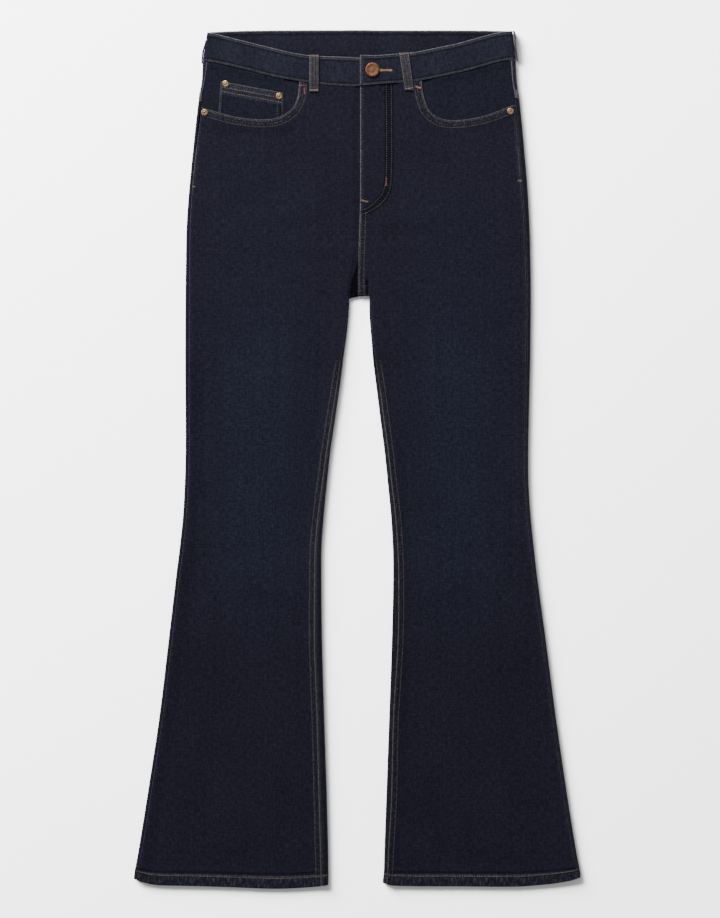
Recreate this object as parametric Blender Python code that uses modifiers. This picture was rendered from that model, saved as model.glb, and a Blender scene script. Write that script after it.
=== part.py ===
"""Flared jeans laid flat, front up, made from their cut and sewn pieces.

Every piece is a thin wall of cloth at its real size. The back panels lie on the
ground and turn up round the folded sides of the legs. The front panels lie on
them and meet them at the outseams and inseams. Tables and functions are in
millimetres: across from the centre line, and height up from the lowest point
of the hems. The wearer's right leg is at -X, the waist is towards +Y.
"""

import math
from collections import namedtuple

import bmesh
import bpy

MM = 0.001

# Driving dimensions
LENGTH = 1101.6
CLOTH = 1.2
LAYER = 1.6
SEAM_GAP = 0.4
HEM_CLOTH = 2.4
HEM_DEPTH = 14.0
BAND_CLOTH = 2.2
LOOP_CLOTH = 1.6
ROUND = 3.1
BAND_ROUND = 3.5
SETTLE = 22.0
HEM_FADE = 70.0

# Where the leg pieces change from hip to leg
CROTCH = 760.0
EDGE_LEVEL = 761.0
LEG_LEVEL = 757.0
VALLEY_TOP = 830.0

# The centre seams, as distances towards the wearer's left
CENTRE_BACK = 1.4
FLY_EDGE = 4.6
FLY_UNDERLAP = 7.0
FLY_FOOT = 884.0

# The strip beside the centre seam: where the thigh's fold meets it, its face and its ramp
FOLD_TOP = {"right": 1.0, "left": 9.0}
STRIP_FACE = {"right": 4.2, "left": 5.8}
STRIP_SINK = 0.6
STRIP_RAMP = 9.0
STRIP_RAMP_CUT = 4.5
STRIP_RAMP_SHARE = 0.6

# The rise of the left front towards the waistband's thick end
FLY_RISE = 1.6
FLY_RISE_SIDE = 24.0
FLY_RISE_TOP = 1029.0
FLY_RISE_RAMP = 26.0

# The crotch's lower edge, a short slope across the centre seam
SLOPE_FOOT = 759.0
SLOPE_FROM = -10.8
SLOPE_RISE = 0.152
CROTCH_CORNER = {"right": 758.2, "left": 762.2}
CROTCH_NEAR = 20.0
CROTCH_FADE = 40.0

SIGN = {"right": -1, "left": 1}

Station = namedtuple("Station", "height outer inner outseam inseam")
Place = namedtuple("Place", "across height")
Lie = namedtuple("Lie", "height face")
Column = namedtuple("Column", "share beyond")
Box = namedtuple("Box", "middle half low high rise")

# Legs: silhouette, and how far in from it each seam shows on the upper face
LEGS = {
    "right": [
        Station(0, 288.5, 37.2, 3.8, 8.6),
        Station(15, 285.7, 37.2, 3.8, 8.6),
        Station(25, 284.5, 37.3, 3.8, 8.6),
        Station(50, 279.7, 37.6, 3.8, 8.8),
        Station(120, 268.4, 39.3, 3.8, 9.0),
        Station(220, 253.1, 42.6, 3.8, 8.2),
        Station(320, 241.0, 45.4, 3.8, 8.8),
        Station(400, 231.6, 46.3, 3.8, 7.5),
        Station(440, 226.6, 46.0, 3.8, 7.0),
        Station(480, 222.5, 43.2, 3.8, 6.2),
        Station(520, 220.3, 39.3, 3.8, 5.0),
        Station(560, 219.2, 35.0, 4.0, 4.0),
        Station(600, 219.2, 29.2, 4.0, 3.6),
        Station(640, 219.5, 23.4, 4.2, 3.0),
        Station(680, 219.7, 18.3, 4.5, 1.8),
        Station(720, 219.6, 14.2, 4.5, 0.5),
        Station(756, 219.4, 11.4, 4.5, 0.0),
        Station(800, 218.9, 11.0, 4.2, 0.0),
        Station(850, 217.9, 11.0, 4.0, 0.0),
        Station(900, 214.4, 11.0, 3.8, 0.0),
        Station(950, 209.4, 11.0, 3.8, 0.0),
        Station(985, 205.7, 11.0, 3.8, 0.0),
        Station(1015, 202.1, 11.0, 3.8, 0.0),
        Station(1035, 198.6, 11.0, 5.0, 0.0),
        Station(1062, 197.2, 11.0, 7.0, 0.0),
    ],
    "left": [
        Station(0, 288.5, 32.0, 3.8, 4.4),
        Station(15, 285.7, 32.6, 3.8, 4.4),
        Station(25, 285.0, 33.6, 3.8, 4.4),
        Station(50, 280.0, 34.4, 3.8, 4.6),
        Station(120, 268.7, 36.9, 3.8, 6.0),
        Station(220, 254.1, 40.5, 3.8, 4.8),
        Station(320, 241.0, 44.0, 3.8, 7.2),
        Station(400, 230.2, 45.7, 3.8, 6.4),
        Station(440, 225.5, 45.2, 3.8, 5.6),
        Station(480, 221.5, 42.8, 3.8, 5.0),
        Station(520, 218.9, 38.9, 3.8, 4.4),
        Station(560, 218.5, 34.8, 4.0, 4.0),
        Station(600, 219.2, 29.7, 4.2, 3.8),
        Station(640, 220.1, 24.7, 4.6, 3.6),
        Station(680, 221.0, 19.8, 5.0, 2.6),
        Station(720, 221.5, 17.2, 5.0, 1.0),
        Station(756, 221.8, 16.1, 5.0, 0.0),
        Station(800, 221.4, 16.1, 5.6, 0.0),
        Station(850, 220.1, 16.1, 6.2, 0.0),
        Station(900, 217.4, 16.1, 7.5, 0.0),
        Station(950, 213.2, 16.1, 7.0, 0.0),
        Station(985, 210.0, 16.1, 6.4, 0.0),
        Station(1015, 206.8, 16.1, 6.0, 0.0),
        Station(1035, 203.8, 16.1, 6.0, 0.0),
        Station(1062, 202.2, 16.1, 6.5, 0.0),
    ],
}

# Hem edge, from the inseam to the outseam
HEMS = {
    "right": [
        Place(30, 7.0), Place(38, 5.0), Place(48, 3.2), Place(75, 1.0), Place(99, 0.0),
        Place(125, 0.4), Place(150, 1.5), Place(180, 2.6), Place(215, 3.6), Place(252, 4.5),
        Place(265, 6.0), Place(272, 7.8), Place(280, 10.2), Place(287, 13.5),
    ],
    "left": [
        Place(28, 9.5), Place(34, 7.2), Place(39, 5.5), Place(48, 4.0), Place(80, 3.2),
        Place(130, 3.1), Place(182, 2.6), Place(208, 2.9), Place(234, 4.9), Place(246, 6.1),
        Place(259, 7.9), Place(272, 10.4), Place(281, 13.2), Place(287, 15.5),
    ],
}

# Height of the front's upper face away from the folds
LIES = [
    Lie(0, 5.3), Lie(13, 5.3), Lie(24, 3.3), Lie(40, 3.1), Lie(560, 3.1), Lie(640, 3.5),
    Lie(700, 4.3), Lie(756, 5.0), Lie(820, 5.7), Lie(860, 5.8), Lie(1110, 5.8),
]

# Pocket openings, from the outseam up to the waistband
SCOOPS = {
    "right": [
        Place(199.4, 1002.8), Place(191.4, 1000.7), Place(174.2, 995.6), Place(157.2, 991.6),
        Place(134.3, 988.8), Place(117.1, 988.2), Place(100.0, 991.6), Place(85.1, 1001.9),
        Place(77.7, 1015.6), Place(74.4, 1034.8),
    ],
    "left": [
        Place(201.4, 1006.4), Place(192.1, 1003.5), Place(177.3, 997.8), Place(160.1, 992.6),
        Place(137.2, 988.0), Place(117.9, 986.9), Place(103.0, 990.8), Place(92.7, 1000.1),
        Place(85.9, 1017.2), Place(82.6, 1035.8),
    ],
}

# Waistband edges at the front, from the centre end to the side
BAND_TOPS = {
    "right": [
        Place(-34, 1064.5), Place(-2, 1065.6), Place(27, 1067.0), Place(51, 1067.8),
        Place(77, 1070.7), Place(111, 1078.4), Place(146, 1087.0), Place(182, 1096.0),
        Place(193, 1097.6),
    ],
    "left": [
        Place(3, 1068.7), Place(26, 1068.4), Place(52, 1070.7), Place(75, 1073.0),
        Place(106, 1079.3), Place(123, 1082.6), Place(157, 1091.8), Place(180, 1097.4),
        Place(199, 1099.2),
    ],
}
BAND_FEET = {
    "right": [
        Place(-34, 1034.0), Place(-14, 1031.2), Place(-4, 1029.6), Place(5, 1028.5),
        Place(22, 1029.0), Place(48, 1031.3),
        Place(77, 1035.6), Place(111, 1041.9), Place(146, 1051.0), Place(180, 1058.4),
        Place(197, 1061.2),
    ],
    "left": [
        Place(3, 1029.0), Place(29, 1031.2), Place(58, 1033.5), Place(78, 1035.6),
        Place(106, 1041.0), Place(146, 1050.1), Place(180, 1059.8), Place(203, 1063.2),
    ],
}
BACK_BAND_TOPS = {
    "right": [Place(-3, 1099.5), Place(60, 1099.7), Place(150, 1098.9), Place(193, 1098.0)],
    "left": [Place(-3, 1099.5), Place(60, 1099.5), Place(157, 1099.5), Place(199, 1099.3)],
}
BACK_BAND_FEET = {
    "right": [Place(-3, 1064.5), Place(100, 1064.0), Place(197, 1061.4)],
    "left": [Place(-3, 1064.5), Place(100, 1064.5), Place(203, 1063.2)],
}
BAND_SIDE_TOP = {"right": 192.4, "left": 198.2}
BAND_SIDE_FOOT = {"right": 197.4, "left": 202.4}
BAND_END = {"right": -33.0, "left": 3.2}
BAND_FACE = 6.6
OVERLAP_RISE = 2.5
OVERLAP_FROM = 58.0
OVERLAP_TO = 37.0

# The yoke seam, at the side and at the centre back
YOKE_SIDE = {"right": 1009.0, "left": 1013.0}
YOKE_CENTRE = 985.0
SEAM_TOP = 1060.0

# Back pockets and the lift of the cloth over them
BACK_POCKET_CENTRE = 104.0
BACK_POCKET_WIDTH = 138.0
BACK_POCKET_TOP = 966.0
BACK_POCKET_CORNER = 838.0
BACK_POCKET_POINT = 816.0
BACK_POCKET_FLARE = 6.0
LIFT_MARGIN = 1.0
LIFT_RAMP = 20.0

# The small pocket on the right pocket facing
COIN_LEFT = 174.8
COIN_RIGHT = 94.2
COIN_TOP_LEFT = 1036.2
COIN_TOP_RIGHT = 1022.5
COIN_FOOT = 982.5
COIN_TAPER = 4.0
COIN_TILT = 2.0
BUMP_MARGIN = 3.0
BUMP_RAMP = 16.0

# How far a pocket facing runs on under the pocket opening and under the waistband's foot
FACING_ASIDE = 8.0
FACING_BELOW = 9.0
FACING_INNER = 7.0
FACING_CORNER = 12.0
FACING_EDGE = 1.0

# Belt loops
FRONT_LOOP_TOPS = {"right": (49.5, 61.3, 1069.0), "left": (53.1, 65.6, 1072.0)}
FRONT_LOOP_FEET = {"right": (49.5, 61.3, 1021.2), "left": (60.8, 72.2, 1023.2)}
SIDE_LOOPS = {
    "right": [
        Place(195.4, 1090.0), Place(196.3, 1082.0), Place(197.6, 1074.0), Place(198.5, 1066.0),
        Place(198.9, 1059.0),
    ],
    "left": [
        Place(187.0, 1100.7), Place(193.0, 1100.9), Place(198.6, 1100.4), Place(201.2, 1097.6),
        Place(201.9, 1092.0), Place(202.1, 1085.0), Place(202.4, 1078.0), Place(203.6, 1070.0),
        Place(204.6, 1062.0),
    ],
}
SIDE_LOOP_RISE = {"right": 6.4, "left": 9.0}
LOOP_WIDTH = 11.6
LOOP_BOW_SHARE = 0.85
LOOP_STEP = 4.0
LOOP_STEP_FROM = 0.6
LOOP_BOW = 1.3
BACK_LOOP_TOP = 1100.4
BACK_LOOP_FOOT = 1050.0
BACK_LOOP_CLOTH = 1.5
SIDE_LOOP_CLOTH = 1.4

# Button and rivets
BUTTON_ACROSS = 19.1
BUTTON_HEIGHT = 1049.2
BUTTON_RADIUS = 9.1
SHANK_RADIUS = 2.2
SHANK_HOLE = 2.7
RIVET_RADIUS = 4.3
RIVET_LIFT = 0.1
POCKET_RIVETS = {"right": Place(195.4, 996.8), "left": Place(195.6, 997.5)}
COIN_RIVETS = {"outer": Place(168.6, 1032.2), "inner": Place(100.0, 1017.9)}

# The zip's tapes
ZIP_GAP = 0.8
ZIP_WIDTH = 8.0
ZIP_TOP = 1026.0

# Distances along the cloth from a front's outseam and inseam to its first columns
FRONT_OUTER_STEPS = [0.0, 1.6, 4.5, 10.0, 20.0]
FRONT_INNER_STEPS = [20.0, 9.0, 4.4, 2.2, 0.6, 0.0]

# A front's last columns above the crotch: share of the strip, and distance beyond the fold
FRONT_CENTRE_COLUMNS = [
    Column(1.0, 14.0), Column(1.0, 5.0), Column(1.0, 2.0), Column(0.9, 0.0),
    Column(0.45, 0.0), Column(0.0, 0.0),
]
CENTRE_SPREAD = 0.4
FRONT_MIDDLE = 13
FRONT_CORNER = 15

# Rows of the legs' panels, and the blend from the pocket openings to the first of them
LEVELS = [
    900, 855, 811, 795, 775, 765, EDGE_LEVEL, LEG_LEVEL, 745, 715, 680, 640, 590, 540, 490, 440,
    390, 330, 260, 180, 110, 60, 40, 27, HEM_DEPTH, 0,
]
FRONT_JOIN = 935
FRONT_BLEND = [0.0, 0.2, 0.5, 1.0]
POCKET_ROW = 970.0
YOKE_SHARES = [0.0, 0.25, 0.6, 1.0]
BAND_SHARES = [0.0, 0.5, 1.0]

# Columns of the back pieces
BACK_WRAP = 7
BACK_INNER_SHARES = [0.18, 0.36, 0.54, 0.7, 0.84, 0.95, 1.0]
BACK_HIP_COLUMNS = [190.0, 176.0, 128.0, 80.0, 32.0, 21.0]
BACK_EVEN_FADE = 120.0
CURVED_SEAM_GAP = 1.0
CURL = 0.3
CURL_TOP = 767.0
CURL_FADE = 6.0
BAND_FRONT_COUNT = 16
BAND_FOLD_COUNT = 8
BAND_BACK_COUNT = 9
END_POWER = 1.6
FACING_COLUMNS = 14
COIN_COLUMNS = 8
PATCH_ROWS = 6
LOOP_ROWS = 9
SIDE_LOOP_ROWS = 10
CURVE_STEPS = 12
TURN_STEPS = 16
BUTTON_STEPS = 28
MERGE_DISTANCE = 0.00005

DENIM = (0.016, 0.018, 0.030, 1.0)
POCKET_DENIM = (0.017, 0.019, 0.032, 1.0)
COPPER = (0.55, 0.30, 0.17, 1.0)
ZIP_TAPE = (0.02, 0.02, 0.03, 1.0)


def smooth(share):
    """Ease from 0 to 1 as the share runs from 0 to 1."""
    share = min(max(share, 0.0), 1.0)
    return share * share * (3 - 2 * share)


def read(table, key, column, value):
    """Read a value from a table on a smooth curve through its rows."""
    if getattr(table[0], key) >= value:
        return getattr(table[0], column)
    if getattr(table[-1], key) <= value:
        return getattr(table[-1], column)
    last = 1
    while getattr(table[last], key) < value:
        last += 1
    before = table[max(last - 2, 0)]
    start = table[last - 1]
    end = table[last]
    after = table[min(last + 1, len(table) - 1)]
    span = getattr(end, key) - getattr(start, key)
    share = (value - getattr(start, key)) / span
    low = getattr(start, column)
    high = getattr(end, column)
    slope_in = (high - getattr(before, column)) / (getattr(end, key) - getattr(before, key)) * span
    slope_out = (getattr(after, column) - low) / (getattr(after, key) - getattr(start, key)) * span
    square = share * share
    cube = square * share
    return (
        (2 * cube - 3 * square + 1) * low
        + (cube - 2 * square + share) * slope_in
        + (3 * square - 2 * cube) * high
        + (cube - square) * slope_out
    )


def leg(side, column, height):
    """A value of the leg table at a height."""
    return read(LEGS[side], "height", column, height)


def seam_edge(side, height):
    """Distance of the outseam from the centre line, on the upper face."""
    return leg(side, "outer", height) - leg(side, "outseam", height)


def hem_rise(side, across, height):
    """How far the hem's curve lifts a row of the cloth, fading out up the leg."""
    fade = 1 - smooth(height / HEM_FADE)
    return read(HEMS[side], "across", "height", across) * fade


def around(along, radius):
    """Distance in from a folded edge, and height, at a distance along the cloth from it.

    Positive distances run up over the fold and in along the upper face,
    negative ones run down under it and in along the ground.
    """
    quarter = radius * math.pi / 2
    if along <= -quarter:
        return radius - quarter - along, 0.0
    if along < quarter:
        turn = along / radius
        return radius * (1 - math.cos(turn)), radius * (1 + math.sin(turn))
    return radius + along - quarter, 2 * radius


def along_from(inset, radius):
    """Distance along the cloth from a folded edge to a place that far in on the upper face."""
    inset = max(inset, 0.0)
    if inset < radius:
        return radius * math.acos(1 - inset / radius)
    return radius * math.pi / 2 + inset - radius


def round_height(inset, radius):
    """Height of the upper face near a folded edge."""
    if inset >= radius:
        return 2 * radius
    inset = max(inset, 0.0)
    return radius + math.sqrt(radius ** 2 - (radius - inset) ** 2)


def fold_line(side, height):
    """Where the thigh's fold runs beside the crotch seam, as a distance from the centre line."""
    climb = smooth((height - CROTCH) / (VALLEY_TOP - CROTCH))
    foot = leg(side, "inner", CROTCH)
    return foot + (FOLD_TOP[side] - foot) * climb


def strip_face(side, height):
    """Height of the centre seam's strip, which sinks towards the crotch."""
    sink = STRIP_SINK * (1 - smooth((height - CROTCH) / (VALLEY_TOP - CROTCH)))
    return STRIP_FACE[side] - sink


def coin_bump(across, height):
    """Rise of the right front over the small pocket's hidden foot."""
    middle = (COIN_LEFT + COIN_RIGHT) / 2
    half = (COIN_LEFT - COIN_RIGHT) / 2 + BUMP_MARGIN
    aside = max(abs(across - middle) - half, 0.0)
    below = max(COIN_FOOT - COIN_TILT - height, 0.0)
    return LAYER * (1 - smooth(math.hypot(aside, below) / BUMP_RAMP))


def fly_rise(across, height):
    """Rise of the left front at the top of the fly, up to the waistband's thick end."""
    aside = max(across - FLY_RISE_SIDE, 0.0)
    below = max(FLY_RISE_TOP - height, 0.0)
    return FLY_RISE * (1 - smooth(math.hypot(aside, below) / FLY_RISE_RAMP))


def face_height(side, across, height):
    """Height of the front's upper face, before pockets and the fly raise it."""
    outer_inset = leg(side, "outer", height) - across
    middle = read(LIES, "height", "face", height - hem_rise(side, across, height))
    sink = smooth((outer_inset - ROUND) / SETTLE)
    if height < CROTCH:
        inner_inset = across - leg(side, "inner", height)
        sink *= smooth((inner_inset - ROUND) / SETTLE)
        edge = min(outer_inset, inner_inset)
        return round_height(edge, ROUND) - (2 * ROUND - middle) * sink
    line = fold_line(side, height)
    presence = 1 - smooth((height - CROTCH) / (VALLEY_TOP - CROTCH))
    beside = smooth((across - line - ROUND) / SETTLE)
    sink *= 1 - presence * (1 - beside)
    thigh = round_height(outer_inset, ROUND) - (2 * ROUND - middle) * sink
    ramp = STRIP_RAMP - STRIP_RAMP_CUT * presence
    strip = smooth((line + ramp * STRIP_RAMP_SHARE - across) / ramp)
    return thigh + (strip_face(side, height) - thigh) * strip


def front_face(side, across, height):
    """Height of a front panel's upper face, with what lies under it."""
    face = face_height(side, across, height)
    if side == "right":
        return face + coin_bump(across, height)
    return face + fly_rise(across, height)


def box_lift(across, height, box):
    """Smooth rise of the cloth over a flat piece that lies under it."""
    aside = max(abs(across - box.middle) - box.half, 0.0)
    beyond = max(box.low - height, height - box.high, 0.0)
    return box.rise * (1 - smooth(math.hypot(aside, beyond) / LIFT_RAMP))


def ground_face(side, across, height):
    """Height of the underside, lifted over the back pocket and the centre back loop."""
    pocket = Box(
        BACK_POCKET_CENTRE, BACK_POCKET_WIDTH / 2 + LIFT_MARGIN,
        BACK_POCKET_POINT - 2 * LIFT_MARGIN, BACK_POCKET_TOP + 2 * LIFT_MARGIN, CLOTH + SEAM_GAP,
    )
    loop = Box(
        SIGN[side] * CENTRE_BACK, LOOP_WIDTH / 2 + LIFT_MARGIN,
        BACK_LOOP_FOOT - 2 * LIFT_MARGIN, LENGTH, BACK_LOOP_CLOTH + SEAM_GAP,
    )
    return max(box_lift(across, height, pocket), box_lift(across, height, loop))


def yoke_seam(side, across):
    """Height of the yoke seam."""
    share = min(max(across / leg(side, "outer", YOKE_SIDE[side]), 0.0), 1.0)
    return YOKE_CENTRE + (YOKE_SIDE[side] - YOKE_CENTRE) * share


def row_height(side, level, across):
    """Height of a row's point, which follows the hem and the crotch's lower edge."""
    near = 1 - smooth((across - CROTCH_NEAR) / CROTCH_FADE)
    if level == EDGE_LEVEL:
        slope = SLOPE_FOOT + max(SIGN[side] * across - SLOPE_FROM, 0.0) * SLOPE_RISE
        return level + (slope - level) * near
    if level == LEG_LEVEL:
        return level + (CROTCH_CORNER[side] - level) * near
    return level + hem_rise(side, across, level)


def arc_positions(places, count):
    """Points at even distances along a smooth curve through the places."""
    fine = []
    for index in range(len(places) - 1):
        before = places[max(index - 1, 0)]
        start = places[index]
        end = places[index + 1]
        after = places[min(index + 2, len(places) - 1)]
        for step in range(CURVE_STEPS):
            share = step / CURVE_STEPS
            point = []
            for column in ("across", "height"):
                first = getattr(before, column)
                low = getattr(start, column)
                high = getattr(end, column)
                last = getattr(after, column)
                point.append(0.5 * (
                    2 * low + (high - first) * share
                    + (2 * first - 5 * low + 4 * high - last) * share ** 2
                    + (3 * low - first - 3 * high + last) * share ** 3
                ))
            fine.append(point)
    fine.append([places[-1].across, places[-1].height])
    reach = [0.0]
    for start, end in zip(fine, fine[1:]):
        reach.append(reach[-1] + math.dist(start, end))
    points = []
    for step in range(count + 1):
        target = reach[-1] * step / count
        index = 0
        while index < len(reach) - 2 and reach[index + 1] < target:
            index += 1
        share = (target - reach[index]) / (reach[index + 1] - reach[index])
        points.append([
            fine[index][axis] + (fine[index + 1][axis] - fine[index][axis]) * share
            for axis in range(2)
        ])
    return points


def world(side, across, height, up):
    """A point of the garment in the part's own frame, in metres."""
    return (SIGN[side] * across * MM, (height - LENGTH / 2) * MM, up * MM)


def level_columns(side, level):
    """Distances from the centre line of a front row's columns, outseam to inner end."""
    outer_height = row_height(side, level, leg(side, "outer", level))
    start = along_from(leg(side, "outseam", outer_height), ROUND)
    outer = leg(side, "outer", outer_height)
    columns = [outer - around(start + step, ROUND)[0] for step in FRONT_OUTER_STEPS]
    if level > LEG_LEVEL:
        climb = smooth((level - CROTCH) / (VALLEY_TOP - CROTCH))
        end = {"right": -FLY_EDGE - FLY_UNDERLAP, "left": FLY_EDGE}[side]
        strip = fold_line(side, level) - end
        spread = 1 + CENTRE_SPREAD * climb
        inner_columns = [
            end + strip * column.share + column.beyond * spread for column in FRONT_CENTRE_COLUMNS
        ]
    else:
        inner_height = row_height(side, level, leg(side, "inner", level))
        finish = along_from(leg(side, "inseam", inner_height), ROUND)
        inner = leg(side, "inner", inner_height)
        inner_columns = [inner + around(finish + step, ROUND)[0] for step in FRONT_INNER_STEPS]
    first = columns[-1]
    last = inner_columns[0]
    for step in range(1, FRONT_MIDDLE):
        columns.append(first + (last - first) * step / FRONT_MIDDLE)
    return columns + inner_columns


def front_rows(side):
    """Rows of a front panel's points, from the pocket opening and waistband to the hem."""
    level = level_columns(side, FRONT_JOIN)
    scoop = arc_positions(SCOOPS[side], FRONT_CORNER)
    corner = scoop[-1]
    feet = BAND_FEET[side]
    end = level[-1]
    top = list(scoop)
    remaining = len(level) - 1 - FRONT_CORNER
    for step in range(1, remaining + 1):
        across = corner[0] + (end - corner[0]) * step / remaining
        top.append([across, read(feet, "across", "height", across) - SEAM_GAP])
    top[FRONT_CORNER][1] = read(feet, "across", "height", corner[0]) - SEAM_GAP
    rows = []
    for blend in FRONT_BLEND:
        row = []
        for edge, across in zip(top, level):
            place = edge[0] + (across - edge[0]) * blend
            height = edge[1] + (FRONT_JOIN - edge[1]) * blend
            row.append(world(side, place, height, front_face(side, place, height)))
        rows.append(row)
    for level_height in LEVELS:
        row = []
        for across in level_columns(side, level_height):
            height = row_height(side, level_height, across)
            row.append(world(side, across, height, front_face(side, across, height)))
        rows.append(row)
    return rows


def wrapped(side, edge, along, height):
    """A back panel's point round one of its folds."""
    inset, up = around(along, ROUND)
    if edge == "outer":
        across = leg(side, "outer", height) - inset
    else:
        across = leg(side, "inner", height) + inset
    if along > ROUND * math.pi / 2:
        up = face_height(side, across, height)
    elif along < 0:
        up += ground_face(side, across, height)
    return across, up


def back_row(side, level, height_at, edge_height=None):
    """One row across a back piece: round the outer fold, along the ground, to the inner end."""
    quarter = ROUND * math.pi / 2
    row = []
    if edge_height is None:
        edge_height = height_at(leg(side, "outer", level))
    start = along_from(leg(side, "outseam", edge_height), ROUND) - SEAM_GAP
    for step in range(BACK_WRAP + 1):
        along = start + (-quarter - start) * step / BACK_WRAP
        across, up = wrapped(side, "outer", along, edge_height)
        row.append(world(side, across, edge_height, up))
    ground_start = leg(side, "outer", edge_height) - ROUND
    ground_end = leg(side, "inner", min(level, CROTCH)) + ROUND
    even = smooth((CROTCH - level) / BACK_EVEN_FADE)
    columns = BACK_HIP_COLUMNS + [ground_end]
    for step, hip_across in enumerate(columns, start=1):
        across = ground_start + (ground_end - ground_start) * step / len(columns)
        across = hip_across + (across - hip_across) * even
        height = height_at(across)
        row.append(world(side, across, height, ground_face(side, across, height)))
    if level > LEG_LEVEL:
        seam = SIGN[side] * CENTRE_BACK + SEAM_GAP / 2
        for step in range(1, BACK_WRAP + 1):
            across = ground_end + (seam - ground_end) * step / BACK_WRAP
            height = height_at(across)
            curl = CURL * smooth((CURL_TOP - height) / CURL_FADE) * step / BACK_WRAP
            row.append(world(side, across, height, ground_face(side, across, height) + curl))
        return row
    edge_height = height_at(leg(side, "inner", level))
    inset = leg(side, "inseam", edge_height)
    gap = SEAM_GAP + CURVED_SEAM_GAP * (1 - smooth((inset - 1) / ROUND))
    finish = along_from(inset, ROUND) - gap
    for share in BACK_INNER_SHARES:
        along = -quarter + (finish + quarter) * share
        across, up = wrapped(side, "inner", along, edge_height)
        row.append(world(side, across, edge_height, up))
    return row


def back_rows(side):
    """Rows of a back panel's points, from the yoke seam to the hem."""
    def seam_height(across):
        return yoke_seam(side, across) - SEAM_GAP / 2
    rows = [back_row(side, FRONT_JOIN, seam_height)]
    for level in [POCKET_ROW, FRONT_JOIN] + LEVELS:
        def height_at(across, row_level=level):
            return row_height(side, row_level, across)
        rows.append(back_row(side, level, height_at))
    return rows


def yoke_rows(side):
    """Rows of a yoke's points, from the waistband to the yoke seam."""
    rows = []
    edge_top = read(BAND_FEET[side], "across", "height", seam_edge(side, SEAM_TOP)) - SEAM_GAP
    edge_foot = YOKE_SIDE[side] + SEAM_GAP / 2
    for share in YOKE_SHARES:
        def height_at(across, part=share):
            top = read(BACK_BAND_FEET[side], "across", "height", across) - SEAM_GAP
            foot = yoke_seam(side, across) + SEAM_GAP / 2
            return top + (foot - top) * part
        edge_height = edge_top + (edge_foot - edge_top) * share
        rows.append(back_row(side, FRONT_JOIN, height_at, edge_height))
    return rows


def band_face(side, across):
    """Height of the waistband's upper face at the front."""
    outer = (BAND_SIDE_TOP[side] + BAND_SIDE_FOOT[side]) / 2
    sink = (2 * BAND_ROUND - BAND_FACE) * smooth((outer - across - BAND_ROUND) / SETTLE)
    rise = 0.0
    if side == "left":
        rise = OVERLAP_RISE * smooth((OVERLAP_FROM - across) / (OVERLAP_FROM - OVERLAP_TO))
    return 2 * BAND_ROUND - sink + rise


def smooth_end(share):
    """Shares that close up towards 1, where the cloth lifts over the centre loop."""
    return 1 - (1 - share) ** END_POWER


def band_rows(side):
    """Rows along a waistband half: from its front end, round the side, to the centre back."""
    quarter = BAND_ROUND * math.pi / 2
    rows = []
    for share in BAND_SHARES:
        outer = BAND_SIDE_TOP[side] + (BAND_SIDE_FOOT[side] - BAND_SIDE_TOP[side]) * share

        def front_height(across, part=share):
            top = read(BAND_TOPS[side], "across", "height", across)
            foot = read(BAND_FEET[side], "across", "height", across)
            return top + (foot - top) * part

        def back_height(across, part=share):
            top = read(BACK_BAND_TOPS[side], "across", "height", across)
            foot = read(BACK_BAND_FEET[side], "across", "height", across)
            return top + (foot - top) * part

        row = []
        for step in range(BAND_FRONT_COUNT):
            across = BAND_END[side] + (outer - BAND_ROUND - BAND_END[side]) * step / BAND_FRONT_COUNT
            row.append(world(side, across, front_height(across), band_face(side, across)))
        for step in range(BAND_FOLD_COUNT + 1):
            along = quarter - 2 * quarter * step / BAND_FOLD_COUNT
            inset, up = around(along, BAND_ROUND)
            across = outer - inset
            share_under = step / BAND_FOLD_COUNT
            height = front_height(across) + (back_height(across) - front_height(across)) * share_under
            row.append(world(side, across, height, up))
        seam = SIGN[side] * CENTRE_BACK + SEAM_GAP / 2
        for step in range(1, BAND_BACK_COUNT + 1):
            start = outer - BAND_ROUND
            across = start + (seam - start) * smooth_end(step / BAND_BACK_COUNT)
            height = back_height(across)
            row.append(world(side, across, height, ground_face(side, across, height)))
        rows.append(row)
    return rows


def patch_rows(side, top, foot, face):
    """Rows between a top line and a foot line, which have a point for each column."""
    rows = []
    for step in range(PATCH_ROWS + 1):
        share = step / PATCH_ROWS
        row = []
        for start, end in zip(top, foot):
            across = start[0] + (end[0] - start[0]) * share
            height = start[1] + (end[1] - start[1]) * share
            row.append(world(side, across, height, face(side, across, height)))
        rows.append(row)
    return rows


def facing_face(side, across, height):
    """Height of a pocket facing, one layer under the front."""
    return face_height(side, across, height) - LAYER


def facing_rows(side):
    """A pocket facing: from the waistband down to a strip under the pocket opening."""
    scoop = arc_positions(SCOOPS[side], FACING_COLUMNS)
    inner = scoop[-1][0] - FACING_INNER
    foot = []
    for index, point in enumerate(scoop):
        before = scoop[max(index - 1, 0)]
        after = scoop[min(index + 1, FACING_COLUMNS)]
        run = math.dist(before, after)
        aside = abs(after[1] - before[1]) / run
        below = abs(after[0] - before[0]) / run
        foot.append([point[0] - FACING_ASIDE * aside, point[1] - FACING_BELOW * below])
    foot[0][0] = seam_edge(side, foot[0][1]) - FACING_EDGE
    foot[-1] = [inner, foot[-1][1] - FACING_CORNER]
    outer = seam_edge(side, SEAM_TOP) - FACING_EDGE
    top = []
    for step in range(FACING_COLUMNS + 1):
        across = outer + (inner - outer) * step / FACING_COLUMNS
        top.append([across, read(BAND_FEET[side], "across", "height", across) - SEAM_GAP])
    return patch_rows(side, top, foot, facing_face)


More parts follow.
